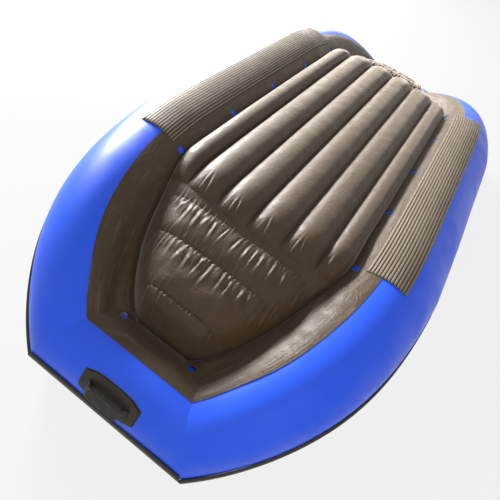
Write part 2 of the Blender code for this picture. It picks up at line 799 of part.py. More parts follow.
def handle_slab(name, end, border, low, high, kind):
    """A long slab with a curved edge on both sides, bent to the tube."""
    loops = []
    parts = (-1, -0.5, 0, 0.5, 1)
    for along_share, width_share in HANDLE_SHARES:
        half = HANDLE_WIDTH / 2 * width_share + border
        here = crosswise(end, (HANDLE_HALF + border) * along_share)
        upper = [here.at_arc(HANDLE_ANGLE, half * part, high) for part in parts]
        lower = [here.at_arc(HANDLE_ANGLE, half * part, low) for part in reversed(parts)]
        loops.append(upper + lower)
    return closed_body(name, loops, kind)


def handle(name, end):
    """A moulded handle: a base bent to the tube and a grip that bridges it, on a fabric patch."""
    sag = round_lift(crosswise(end, 0), math.degrees(HANDLE_WIDTH / 3 / BOW_RADIUS))
    patch_top = sag + WRAP_FABRIC
    handle_slab(f"{name}_patch", end, PATCH_BORDER, sag, patch_top, "black_rubber")
    base_low = patch_top + sag
    base = handle_slab(name, end, 0, base_low, base_low + HANDLE_BASE, "black_rubber")
    root = base_low + HANDLE_BASE - GRIP_ROOT
    crown = root + GRIP_ROOT + GRIP_HEIGHT
    half = GRIP_WIDTH / 2
    path = [(-GRIP_REACH, root), (-GRIP_REACH + GRIP_BEND, crown), (GRIP_REACH - GRIP_BEND, crown), (GRIP_REACH, root)]
    lean = GRIP_THICKNESS
    loops = []
    for number, (x, lift) in enumerate(path):
        outer = -1 if number < 2 else 1
        foot = number in (0, len(path) - 1)
        step = lean if foot else lean / 2
        inside = (x - outer * step, lift)
        outside = (x + outer * step, lift if foot else lift + GRIP_THICKNESS)
        corners = [(outside, -1), (outside, 1), (inside, 1), (inside, -1)]
        loop = []
        for (place, high), side in corners:
            here = crosswise(end, place)
            loop.append(flat_point(here, HANDLE_ANGLE, side * half, high))
        loops.append(loop)
    grip = closed_body(f"{name}_grip_form", loops, "black_rubber")
    soften = grip.modifiers.new("edges", "BEVEL")
    soften.width = GRIP_THICKNESS / 4
    cut(base, grip, "UNION")
    return base


def flat_point(here, angle, across, lift):
    """A point above the tube at an angle, stepped straight sideways from there."""
    turn = math.radians(angle)
    sideways = here.outward * math.cos(turn) - here.upward * math.sin(turn)
    return here.at(angle, lift) + sideways * across


# Valves

def turned(name, outline, place, kind, sides):
    """A round piece from its outline (radius, height), on an axis that points down out of the valve's mouth."""
    mesh = bpy.data.meshes.new(name)
    closed = outline[0][0] > 0
    edges = [(point, point + 1) for point in range(len(outline) - 1)]
    if closed:
        edges.append((len(outline) - 1, 0))
    mesh.from_pydata([(radius, 0, height) for radius, height in outline], edges, [])
    made = bpy.data.objects.new(name, mesh)
    made.data.materials.append(material(kind, name))
    made.location = place
    made.rotation_euler = (math.pi, 0, 0)
    bpy.context.scene.collection.objects.link(made)
    screw = made.modifiers.new("turn", "SCREW")
    screw.steps = screw.render_steps = sides
    screw.use_merge_vertices = True
    screw.merge_threshold = 1e-5
    screw.use_smooth_shade = True
    return made


def valve_body(name, place):
    """A flange on the skin, a neck for the cap, and a barrel with the guide plate for the stem."""
    low = SEAT
    flange = low + FLANGE_THICKNESS
    neck = flange + NECK_HEIGHT
    guide_low = -GUIDE_DEPTH - GUIDE_THICKNESS
    hole = STEM_RADIUS + RUNNING
    outline = [
        (BORE_RADIUS, neck),
        (NECK_RADIUS, neck),
        (NECK_RADIUS, flange),
        (FLANGE_RADIUS, flange),
        (FLANGE_RADIUS, low),
        (BARREL_RADIUS, low),
        (BARREL_RADIUS, -BARREL_DEPTH),
        (PORT_RADIUS, -BARREL_DEPTH),
        (PORT_RADIUS, guide_low),
        (hole, guide_low),
        (hole, -GUIDE_DEPTH),
        (BORE_RADIUS, -GUIDE_DEPTH),
    ]
    return turned(name, outline, place, "valve_plastic", VALVE_SIDES)


def valve_poppet(name, place):
    """The push button, its stem and the disc that seals the barrel from inside."""
    top = -BUTTON_SINK
    under = top - BUTTON_THICKNESS
    disc = -BARREL_DEPTH - GAP
    outline = [
        (0, top),
        (BUTTON_RADIUS, top),
        (BUTTON_RADIUS, under),
        (STEM_RADIUS, under),
        (STEM_RADIUS, disc),
        (POPPET_RADIUS, disc),
        (POPPET_RADIUS, disc - POPPET_THICKNESS),
        (0, disc - POPPET_THICKNESS),
    ]
    return turned(name, outline, place, "valve_plastic", STEM_SIDES)


def valve_cap(name, place):
    """A cap over the neck, with a bar across it to grip."""
    flange = SEAT + FLANGE_THICKNESS
    neck = flange + NECK_HEIGHT
    inner = NECK_RADIUS + RUNNING
    outer = inner + CAP_SKIRT
    outline = [
        (0, neck + GAP + CAP_TOP),
        (outer, neck + GAP + CAP_TOP),
        (outer, flange + GAP),
        (inner, flange + GAP),
        (inner, neck + GAP),
        (0, neck + GAP),
    ]
    made = turned(name, outline, place, "valve_plastic", VALVE_SIDES)
    form = bmesh.new()
    bmesh.ops.create_cube(form, size=1)
    sizes = Vector((2 * NECK_RADIUS, CAP_GRIP_WIDTH, CAP_GRIP_HEIGHT))
    for vert in form.verts:
        vert.co = Vector(vert.co[axis] * sizes[axis] for axis in range(3))
        vert.co.z += neck + GAP + CAP_TOP / 2 + CAP_GRIP_HEIGHT / 2
    mesh = bpy.data.meshes.new(f"{name}_grip_form")
    form.to_mesh(mesh)
    form.free()
    bar = bpy.data.objects.new(f"{name}_grip_form", mesh)
    bar.location = place
    bar.rotation_euler = (math.pi, 0, 0)
    bpy.context.scene.collection.objects.link(bar)
    cut(made, bar, "UNION")
    return made


def valve_spring(name, place):
    """The coil that lifts the button, between the guide plate and the button."""
    low = -GUIDE_DEPTH + GAP + SPRING_WIRE / 2
    high = -BUTTON_SINK - BUTTON_THICKNESS - GAP - SPRING_WIRE / 2
    count = SPRING_TURNS * CURL_POINTS
    data = bpy.data.curves.new(name, "CURVE")
    data.dimensions = "3D"
    line = data.splines.new("POLY")
    line.points.add(count)
    points = []
    for number in range(count + 1):
        turn = 2 * math.pi * number / CURL_POINTS
        rise = low + (high - low) * number / count
        points.append(Vector((SPRING_RADIUS * math.cos(turn), SPRING_RADIUS * math.sin(turn), rise)))
        line.points[number].co = (*points[-1], 1)
    data.bevel_depth = SPRING_WIRE / 2
    data.bevel_resolution = 0
    data.use_fill_caps = True
    made = bpy.data.objects.new(name, data)
    made.data.materials.append(material("spring_steel", name))
    made.location = place
    made.rotation_euler = (math.pi, 0, 0)
    bpy.context.scene.collection.objects.link(made)
    apart = [(points[a] - points[b]).length for a in range(count + 1) for b in range(a + CURL_POINTS // 2, count + 1)]
    print(f"{name}: least gap between curls {1000 * (min(apart) - SPRING_WIRE):.2f} mm")
    return made


def valve(name, place, skin):
    """All pieces of one valve, and its hole in the skin."""
    valve_body(f"{name}_body", place)
    valve_poppet(f"{name}_button", place)
    valve_spring(f"{name}_spring", place)
    valve_cap(f"{name}_cap", place)
    cutter = drill(f"{name}_hole", place, Vector((0, 0, 1)), BARREL_RADIUS + GAP, BARREL_RADIUS, VALVE_SIDES)
    cut(skin, cutter)


def build():
    for thing in list(bpy.data.objects):
        bpy.data.objects.remove(thing, do_unlink=True)

    # Skins, from the bow round the +X side, the stern and the -X side
    bow_left, bow_right = opposite(BOW_CORNER) - len(RINGS), BOW_CORNER
    tube_skin("bow_tube", bow_left, bow_right)
    tube_skin("bow_quarter_right", BOW_CORNER, BOW_SEAM)
    right = tube_skin("side_tube_right", BOW_SEAM, STERN_SEAM)
    tube_skin("stern_quarter_right", STERN_SEAM, STERN_CORNER)
    tube_skin("stern_tube", STERN_CORNER, opposite(STERN_CORNER))
    tube_skin("stern_quarter_left", opposite(STERN_CORNER), opposite(STERN_SEAM))
    left = tube_skin("side_tube_left", opposite(STERN_SEAM), opposite(BOW_SEAM))
    tube_skin("bow_quarter_left", opposite(BOW_SEAM), opposite(BOW_CORNER))

    for end_name, end in (("bow", -1), ("stern", 1)):
        baffle(f"{end_name}_baffle", crosswise(end, 0), crosswise(end, BAFFLE_RIM))
    for side_name, side in (("right", 1), ("left", -1)):
        baffle(f"side_baffle_{side_name}", ring_along(side, 0), ring_along(side, BAFFLE_RIM))

    # The dark wrap, with its drain holes
    bow_wrap = bottom_wrap("bow_wrap", opposite(BOW_SEAM) - len(RINGS), BOW_SEAM)
    stern_wrap = bottom_wrap("stern_wrap", STERN_SEAM, opposite(STERN_SEAM))
    wrap_right = bottom_wrap("side_wrap_right", BOW_SEAM, STERN_SEAM)
    wrap_left = bottom_wrap("side_wrap_left", opposite(STERN_SEAM), opposite(BOW_SEAM))
    side_drains(wrap_right, 1)
    side_drains(wrap_left, -1)
    end_drains(bow_wrap, -1)
    end_drains(stern_wrap, 1)

    pad_places = list(range(MIDDLE - 2, MIDDLE + 3))
    wear_pad("wear_pad_right", pad_places)
    wear_pad("wear_pad_left", [opposite(place) for place in reversed(pad_places)])

    rub_strake("bow_strake", bow_left, bow_right)
    rub_strake("side_strake_right", BOW_CORNER, STERN_CORNER)
    rub_strake("stern_strake", STERN_CORNER, opposite(STERN_CORNER))
    rub_strake("side_strake_left", opposite(STERN_CORNER), opposite(BOW_CORNER))

    # The floor
    top = FloorSheet([edge for edge, _ in FLOOR_OUTLINE], TOP_SHARES, BEAM_RISE, PANEL_RISE, PANEL_SHARES)
    feet = [foot for _, foot in FLOOR_OUTLINE]
    deck = FloorSheet(feet, DECK_SHARES, -DECK_DROP, DECK_PANEL_RISE, DECK_PANEL_SHARES)
    underside("floor_underside", top)
    deck_skin = deck_and_wall("floor_deck", deck)
    inner = BEAMS // 2 - 1
    for number in range(-inner, inner + 1):
        long_web(f"floor_web_{number + inner + 1}", number, top, deck)
    for end, sign in (("bow", -1), ("stern", 1)):
        for number, line in enumerate(CROSS_SEAMS):
            cross_web(f"{end}_cross_web_{number + 1}", FLOOR_MIDDLE + sign * line, top, deck)

    handle("bow_handle", -1)
    handle("stern_handle", 1)

    # A valve for each quarter of the ring, on the lowest line of the side tubes, and one in the deck
    for side_name, side, skin in (("right", 1, right), ("left", -1, left)):
        for end_name, end in (("bow", -1), ("stern", 1)):
            here = ring_along(side, end * VALVE_ALONG)
            bottom = here.centre.z - here.radius * math.cos(math.pi / TUBE_SIDES)
            valve(f"{end_name}_{side_name}_valve", Vector((here.centre.x, here.centre.y, bottom)), skin)
    beam = beam_pitch() / 2
    heights = [deck.height(row, beam) for row in (FLOOR_MIDDLE, FLOOR_MIDDLE + 1)]
    level = heights[0] + (heights[1] - heights[0]) * VALVE_ALONG / TAPER_START
    valve("floor_valve", Vector((beam, VALVE_ALONG, level)), deck_skin)


build()
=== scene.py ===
"""Looks of the inflatable river raft, which lies bottom side up: skins, wraps, pads, strakes, floor, handles, valves.

The form follows the same values as the CAD. All lengths are in metres; angles round a tube are in degrees from
its crown, positive towards the outside. The raft is the same at both ends and on both sides but for its wrinkles.
"""

import math

import bmesh
import bpy
import numpy as np
from mathutils import Matrix, Vector


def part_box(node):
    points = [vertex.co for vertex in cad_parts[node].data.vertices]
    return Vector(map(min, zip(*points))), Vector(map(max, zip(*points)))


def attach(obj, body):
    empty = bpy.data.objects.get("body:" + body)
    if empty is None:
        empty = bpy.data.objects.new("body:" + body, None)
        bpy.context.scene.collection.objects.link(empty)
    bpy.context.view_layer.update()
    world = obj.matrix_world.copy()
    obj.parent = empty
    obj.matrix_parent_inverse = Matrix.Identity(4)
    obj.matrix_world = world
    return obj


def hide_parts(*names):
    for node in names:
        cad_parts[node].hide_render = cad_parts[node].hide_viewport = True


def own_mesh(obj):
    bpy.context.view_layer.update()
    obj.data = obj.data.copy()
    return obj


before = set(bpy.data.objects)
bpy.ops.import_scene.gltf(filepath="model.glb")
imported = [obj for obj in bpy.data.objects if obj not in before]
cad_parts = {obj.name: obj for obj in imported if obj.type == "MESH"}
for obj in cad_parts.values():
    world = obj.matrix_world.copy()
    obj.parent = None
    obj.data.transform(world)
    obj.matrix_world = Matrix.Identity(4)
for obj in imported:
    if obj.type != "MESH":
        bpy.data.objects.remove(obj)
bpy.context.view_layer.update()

# Ring of tubes
HALF_LENGTH = 1.480
HALF_WIDTH = 0.570
BOW_HALF_WIDTH = 0.270
SIDE_RADIUS = 0.226
BOW_RADIUS = 0.152
SIDE_LIFT = 0.130
TAPER_START = 0.600
SIDE_END = 0.950
SWEEP_POWER = 5.4
ROCKER_POWER = 6.0
LOW = BOW_RADIUS * math.cos(math.pi / 20)
HIGH = SIDE_RADIUS + SIDE_LIFT
MITRE_REACH = 0.34
END_MITRE_REACH = 0.24
TUBE_SIDES = 72
GROUND_GAP = 0.0002

# Sheets
FABRIC = 0.0012
WRAP_FABRIC = 0.0015
SEAT = 0.0006
SKIN_SWELL = 0.0012
SWELL_SIZE = 0.45

# Wraps, with their edges' angles on the sides, the quarters, the corners and the ends
WRAP_EDGE_SIDE = -12.0
WRAP_EDGE_QUARTER = -16.0
WRAP_EDGE_POINT = -12.0
WRAP_EDGE_BOW = -0.4
QUARTER_EDGE_FROM = 1.12
POINT_FROM = 1.34
WRAP_SAG = 0.010
WRAP_RIPPLE = 0.0016
DRAIN_RADIUS = 0.016
DRAIN_PITCH = 0.390
SIDE_DRAINS = 5
DRAIN_ABOVE_FLOOR = 0.021
BOW_DRAIN_HALF = 0.151
BOW_DRAIN_ANGLE = -41.5

# Pads
PAD_HALF = 0.785
PAD_WIDTH = 0.165
PAD_CENTRE = -6.0
PAD_BASE = 0.0020
PAD_RIDGE = 0.0030
PAD_RIDGES = 13

# Strake
STRAKE_WIDTH = 0.050
STRAKE_THICKNESS = 0.010
STRAKE_ANGLE = 95.0

# Floor
FLOOR_EDGE_SIDE = -46.0
CREVICE_DEPTH = 0.012
BEAM_RISE = 0.047
VALLEYS = (0.0, 0.148, 0.296)
# Distance from the middle of the raft, half width and level of the crevice between floor and wrap
OUTLINE = (
    (0.820, 0.4010, 0.4835), (0.880, 0.3850, 0.4630), (0.950, 0.3600, 0.4400), (1.000, 0.3430, 0.4200),
    (1.050, 0.3250, 0.4000), (1.100, 0.3060, 0.3780), (1.140, 0.2880, 0.3600), (1.180, 0.2650, 0.3420),
    (1.220, 0.2410, 0.3220), (1.260, 0.2110, 0.3000), (1.300, 0.1750, 0.2720), (1.330, 0.1380, 0.2430),
    (1.344, 0.1080, 0.2240),
)
FRONT = (1.346, 0.2190)
# Levels of the floor along its middle, without the beams
MIDDLE_LEVELS = (
    (0.0, 0.5150), (0.60, 0.5150), (0.75, 0.5140), (0.85, 0.5100), (0.905, 0.5040), (0.950, 0.4900), (1.00, 0.4840),
    (1.05, 0.4730), (1.10, 0.4560), (1.16, 0.4380), (1.22, 0.4220), (1.28, 0.3980), (1.315, 0.3640), (1.346, 0.2190),
)
SEAMS = (0.950, 1.100, 1.280)
# How far across each seam reaches, and its creases on it and beside it: distance, counts, and ranges of width,
# length and depth
SEAM_REACHES = (0.320, 0.270, 0.150)
SEAM_CREASES = (
    (0.002, (30, 25, 12), (0.0035, 0.0025), (0.012, 0.014), (0.0018, 0.0022)),
    (0.046, (15, 13, 6), (0.0048, 0.0034), (0.022, 0.020), (0.0030, 0.0042)),
)
SEAM_GROOVE = 0.0012
# Where the floor swells between seams: from, to, height
PILLOWS = ((0.950, 1.100, 0.012), (1.100, 1.280, 0.014), (1.280, 1.350, 0.012))
# Where the beams start to narrow, and where they end on the middle line
NOSE_FROM = 0.74
NOSE_TO = 0.925
FLOOR_RIPPLE = 0.0018
# The deck, from the middle of the raft to its end: its corner with the wall, and the floor's edge above that
DECK_X = (0.3478, 0.3455, 0.3535, 0.3495, 0.3433, 0.3336, 0.3060, 0.2591, 0.1929, 0.1519, 0.1080)
DECK_Y = (0.0, 0.5956, 0.7735, 0.8776, 0.9501, 1.0255, 1.0996, 1.1899, 1.2802, 1.3043, 1.3255)
DECK_Z = (0.4032, 0.4023, 0.3953, 0.3770, 0.3504, 0.3229, 0.2944, 0.2546, 0.2057, 0.1754, 0.1440)
WALL_TOP_Y = (0.0, 0.5981, 0.7803, 0.8673, 0.9502, 1.0256, 1.0996, 1.1899, 1.2802, 1.3202, 1.3440)
BEAM_FADE = (1.0, 1.0, 0.94, 0.69, 0.0, 0.0, 0.0, 0.0, 0.0, 0.0, 0.0)
DECK_PANEL = (0.02, 0.02, 0.13, 0.35, 0.44, 0.70, 0.60, 0.70, 0.55, 0.30, 0.0)
DECK_DROP = 0.030
DECK_PANEL_RISE = 0.050
WEB = 0.0010

# Baffles
BAFFLE_RIM = 0.030
BAFFLE_BULGE = 0.050

# Handles
HANDLE_ANGLE = 56.0
HANDLE_HALF = 0.112
HANDLE_WIDTH = 0.094
HANDLE_SHARES = ((-1.0, 0.62), (-0.66, 0.92), (-0.25, 1.0), (0.25, 1.0), (0.66, 0.92), (1.0, 0.62))
PATCH_LIFTS = (0.0014, 0.0029)
BASE_LIFTS = (0.0041, 0.0091)
PATCH_BORDER = 0.004
GRIP_REACH = 0.074
GRIP_BEND = 0.018
GRIP_LIFT = 0.0371
GRIP_THICKNESS = 0.011
GRIP_WIDTH = 0.034

# Valves
VALVE_ALONG = 0.300
VALVE_HOLE = 0.0188
FLOOR_VALVE = (0.0737, 0.300, 0.374)
HOLE_REACH = 0.03
SPRING_WIRE = 0.0012
SPRING_TURNS = 3

# Lamps: place, target, size, power, colour
LAMPS = {
    "key": ((-5.1, 2.4, 2.15), (0, 0, 0.35), (2.6, 0.8), 1350, (1.0, 0.98, 0.95)),
    "low": ((-3.3, 5.0, 1.25), (0, 0, 0.5), (3.6, 1.0), 210, (1.0, 0.98, 0.95)),
    "fill": ((2.6, -4.2, 3.0), (0, 0, 0.3), (3.5, 3.5), 110, (0.97, 0.98, 1.0)),
}
GROUND_HALF = 60.0
GROUND_SHADE = 0.36
GROUND_GLOW = 0.84

# Camera
CAMERA_PLACE = (0.2986, -1.9514, 1.6485)
CAMERA_TARGET = (-0.0048, -0.7990, 0.3)
CAMERA_ROLL = -0.4153


def smooth_step(value):
    value = np.clip(value, 0.0, 1.0)
    return value * value * (3 - 2 * value)


def normal(vectors):
    return vectors / np.linalg.norm(vectors, axis=-1, keepdims=True)


def dot(a, b):
    return (a * b).sum(-1)


# The ring of tubes

class Stations:
    """Cross lines of the ring: centres, directions along, outward and upward, the plane that each lies in, radii."""

    def __init__(self, *parts):
        self.parts = parts
        self.centre, self.along, self.outward, self.upward, self.plane, self.radius = parts

    def at(self, angle, lift=0.0):
        """Points at angles (one for each cross line, or rows of them) and at a lift above the tube."""
        turn = np.radians(np.asarray(angle, float))
        if turn.ndim == 1:
            turn = turn[:, None]
        reach = self.radius[:, None] + lift
        out, up = reach * np.sin(turn), reach * np.cos(turn)
        off = out[..., None] * self.outward[:, None, :] + up[..., None] * self.upward[:, None, :]
        slip = dot(off, self.plane[:, None, :]) / dot(self.along, self.plane)[:, None]
        return self.centre[:, None, :] + off - self.along[:, None, :] * slip[..., None]

    def picked(self, which):
        return Stations(*[part[which] for part in self.parts])

    def mirrored(self):
        """The same cross lines on the -X side, in the order that goes round the raft the same way."""
        across, turned = np.array([-1.0, 1.0, 1.0]), np.array([1.0, -1.0, -1.0])
        ways = (across, turned, across, across, turned, 1.0)
        return Stations(*[(part * way)[::-1] for part, way in zip(self.parts, ways)])

    def joined(self, other):
        return Stations(*[np.concatenate(pair) for pair in zip(self.parts, other.parts)])


def tube_radius(along):
    share = np.clip((np.abs(along) - TAPER_START) / (HALF_LENGTH - TAPER_START), 0, 1)
    return SIDE_RADIUS - (SIDE_RADIUS - BOW_RADIUS) * share


def spine(along):
    """Centre line on the +X side, with its direction towards the stern."""
    share = np.abs(along) / HALF_LENGTH
    centre = np.stack([
        HALF_WIDTH - (HALF_WIDTH - BOW_HALF_WIDTH) * share**SWEEP_POWER,
        along,
        HIGH - (HIGH - LOW) * share**ROCKER_POWER,
    ], -1)
    way = np.sign(along) / HALF_LENGTH
    slope_x = -(HALF_WIDTH - BOW_HALF_WIDTH) * SWEEP_POWER * share**(SWEEP_POWER - 1) * way
    slope_z = -(HIGH - LOW) * ROCKER_POWER * share**(ROCKER_POWER - 1) * way
    return centre, normal(np.stack([slope_x, np.ones_like(along), slope_z], -1))


CORNER_WAY = spine(np.array([-HALF_LENGTH]))[1][0]
BOW_MITRE = normal(CORNER_WAY + np.array([1.0, 0, 0]))


def side_stations(along):
    """Cross lines of the +X side at distances along the raft, skewed into the mitre near the corners."""
    along = np.asarray(along, float)
    centre, way = spine(along)
    outward = normal(np.stack([way[:, 1], -way[:, 0], np.zeros(len(way))], -1))
    upward = np.cross(outward, way)
    corner = spine(np.array([HALF_LENGTH]))[0][0] * np.array([1, 0, 1])
    gap = np.linalg.norm(centre * np.array([1, 0, 1]) - corner, axis=1)
    away = np.hypot(gap, HALF_LENGTH - np.abs(along))
    share = smooth_step(1 - away / MITRE_REACH)[:, None]
    mitre = np.where(along[:, None] < 0, BOW_MITRE, BOW_MITRE * np.array([-1, 1, -1]))
    return Stations(centre, way, outward, upward, normal(mitre * share + way * (1 - share)), tube_radius(along))


def end_stations(end, across):
    """Cross lines of the straight tube at the bow (-1) or the stern (1), in the order that goes round the raft."""
    across = np.asarray(across, float)
    count = len(across)
    centre = np.stack([across, np.full(count, end * HALF_LENGTH), np.full(count, LOW)], -1)
    way = np.tile([-float(end), 0, 0], (count, 1))
    outward = np.tile([0, float(end), 0], (count, 1))
    upward = np.tile([0, 0, 1.0], (count, 1))
    share = smooth_step(1 - (BOW_HALF_WIDTH - np.abs(across)) / END_MITRE_REACH)[:, None]
    sides = np.sign(across + 1e-12)[:, None]
    mitre = BOW_MITRE * np.concatenate([np.full((count, 1), -float(end)), sides, -end * sides], 1)
    plane = normal(mitre * share + way * (1 - share))
    return Stations(centre, way, outward, upward, plane, np.full(count, BOW_RADIUS))


LINE_CENTRE, LINE_WAY = spine(np.linspace(0, HALF_LENGTH, 300))
LINE_RADIUS = tube_radius(LINE_CENTRE[:, 1])


def clear_of_tubes(points, lift):
    """Moves points straight away from the tubes' centre line until they are at least at a lift above the skin."""
    signs = np.where(points < 0, -1.0, 1.0)
    signs[..., 2] = 1
    spots = (points * signs).reshape(-1, 3)
    moved = []
    for part in np.array_split(spots, len(spots) // 4000 + 1):
        beyond = (part - LINE_CENTRE[-1]) @ (BOW_MITRE * np.array([-1, 1, -1])) > 0
        nearest = np.argmin(((part[:, None] - LINE_CENTRE[None]) ** 2).sum(-1), 1)
        off = part - LINE_CENTRE[nearest]
        off -= dot(off, LINE_WAY[nearest])[:, None] * LINE_WAY[nearest]
        straight = part - np.array([0, HALF_LENGTH, LOW])
        straight[:, 0] = 0
        off = np.where(beyond[:, None], straight, off)
        far = np.linalg.norm(off, axis=1)
        push = np.maximum(np.where(beyond, BOW_RADIUS, LINE_RADIUS[nearest]) + lift - far, 0)
        moved.append(part + off / far[:, None] * push[:, None])
    return np.concatenate(moved).reshape(points.shape) * signs


# Meshes

def new_object(name, points, faces, made_of, sharp=38):
    mesh = bpy.data.meshes.new(name)
    mesh.from_pydata(np.asarray(points, float).reshape(-1, 3).tolist(), [], faces)
    mesh.update()
    mesh.shade_smooth()
    mesh.set_sharp_from_angle(angle=math.radians(sharp))
    made = bpy.data.objects.new(name, mesh)
    mesh.materials.append(made_of)
    bpy.context.scene.collection.objects.link(made)
    return made


def grid_faces(rows, columns, closed=False, first=0, flip=False):
    i, j = np.meshgrid(np.arange(rows - 1), np.arange(columns if closed else columns - 1), indexing="ij")
    after = (j + 1) % columns
    faces = np.stack([i * columns + j, i * columns + after, (i + 1) * columns + after, (i + 1) * columns + j], -1)
    faces = faces.reshape(-1, 4) + first
    return (faces[:, ::-1] if flip else faces).tolist()


def outward_faces(thing):
    form = bmesh.new()
    form.from_mesh(thing.data)
    bmesh.ops.recalc_face_normals(form, faces=form.faces)
    form.to_mesh(thing.data)
    form.free()


def metric_map(thing, lengths):
    """A flat map in metres, from one pair of distances for each vertex."""
    layer = thing.data.uv_layers.new(name="metres")
    loops = np.zeros(len(thing.data.loops), np.int32)
    thing.data.loops.foreach_get("vertex_index", loops)
    layer.data.foreach_set("uv", lengths[loops].astype(np.float32).ravel())


def grid_lengths(rows):
    """Distances along and across a grid of points."""
    along = np.linalg.norm(np.diff(rows, axis=0), axis=-1)
    across = np.linalg.norm(np.diff(rows, axis=1), axis=-1)
    along = np.concatenate([np.zeros((1, rows.shape[1])), np.cumsum(along, 0)])
    along = np.repeat(along.mean(1, keepdims=True), rows.shape[1], 1)
    across = np.concatenate([np.zeros((rows.shape[0], 1)), np.cumsum(across, 1)], 1)
    return np.stack([along, across - across.mean(1, keepdims=True)], -1).reshape(-1, 2)


def two_sided(name, front, back, made_of, closed=False, sharp=38):
    """A sheet between two grids of points, closed along its free edges."""
    rows, columns = front.shape[:2]
    count = rows * columns
    faces = grid_faces(rows, columns, closed) + grid_faces(rows, columns, closed, count, flip=True)
    rims = [[row * columns + column for column in range(columns)] for row in (0, rows - 1)]
    loops = [(rim, closed) for rim in rims]
    if not closed:
        loops += [([row * columns + column for row in range(rows)], False) for column in (0, columns - 1)]
    for rim, round_it in loops:
        pairs = zip(rim, rim[1:] + rim[:1]) if round_it else zip(rim[:-1], rim[1:])
        faces += [(a, b, b + count, a + count) for a, b in pairs]
    made = new_object(name, np.concatenate([front.reshape(-1, 3), back.reshape(-1, 3)]), faces, made_of, sharp)
    outward_faces(made)
    lengths = grid_lengths(front)
    metric_map(made, np.concatenate([lengths, lengths]))
    return made


def stands_for(piece, node):
    """Lets a piece on the hull take a CAD node's place."""
    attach(piece, "hull")
    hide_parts(node)


def sheet(name, front, back, made_of, node, closed=False, rests_on=()):
    """A sheet of cloth that stands for a CAD node."""
    made = two_sided(name, front, back, made_of, closed)
    stands_for(made, node)
    return made


def swept(name, loops, made_of, sharp=38, lengths=None):
    """One closed body through loops of points, capped at both ends."""
    rows, columns = loops.shape[:2]
    faces = grid_faces(rows, columns, closed=True)
    faces += [list(range(columns))[::-1], list(range((rows - 1) * columns, rows * columns))]
    made = new_object(name, loops, faces, made_of, sharp)
    outward_faces(made)
    metric_map(made, grid_lengths(loops) if lengths is None else lengths)
    return made


def cut_out(thing, places, ways, radius, reach, sides=28):
    """Cuts round holes through a sheet, at places and along directions."""
    form = bmesh.new()
    for place, way in zip(places, ways):
        turn = Vector((0, 0, 1)).rotation_difference(Vector(way)).to_matrix().to_4x4()
        matrix = Matrix.Translation(Vector(place)) @ turn
        bmesh.ops.create_cone(
            form, cap_ends=True, segments=sides, radius1=radius, radius2=radius, depth=reach, matrix=matrix
        )
    mesh = bpy.data.meshes.new("cutter")
    form.to_mesh(mesh)
    form.free()
    cutter = bpy.data.objects.new("cutter", mesh)
    bpy.context.scene.collection.objects.link(cutter)
    boolean = thing.modifiers.new("holes", "BOOLEAN")
    boolean.object, boolean.operation, boolean.solver = cutter, "DIFFERENCE", "EXACT"
    graph = bpy.context.evaluated_depsgraph_get()
    cut = bpy.data.meshes.new_from_object(thing.evaluated_get(graph))
    thing.modifiers.clear()
    thing.data = cut
    cut.set_sharp_from_angle(angle=math.radians(38))
    bpy.data.objects.remove(cutter, do_unlink=True)


# Wrinkles that are the same in each run

def hashed(*numbers):
    """A number from 0 to 1 that looks drawn at random, and is the same for the same numbers."""
    factors = (12.9898, 78.233, 37.719, 9.151)
    value = math.sin(sum(number * factor for number, factor in zip(numbers, factors))) * 43758.5453
    return value - math.floor(value)


def waves(points, size, seed, count=14):
    """A soft irregular height from -1 to 1 over points, with waves of about a size."""
    height = np.zeros(points.shape[:-1])
    for number in range(count):
        way = np.array([hashed(seed, number, axis) - 0.5 for axis in range(3)])
        way = way / np.linalg.norm(way) * (2 * math.pi / size) * (0.6 + 0.9 * hashed(seed, number, 7))
        height += np.sin(points @ way + 6.28 * hashed(seed, number, 11))
    return height / math.sqrt(count) / 1.5


# Materials

def add_node(tree, kind, inputs=None, **values):
    """A new node with its settings. Each of its inputs takes a value, or a link from another node's output."""
    made = tree.nodes.new(kind)
    for key, value in values.items():
        setattr(made, key, value)
    for key, value in (inputs or {}).items():
        if isinstance(value, bpy.types.NodeSocket):
            tree.links.new(value, made.inputs[key])
        else:
            made.inputs[key].default_value = value
    return made


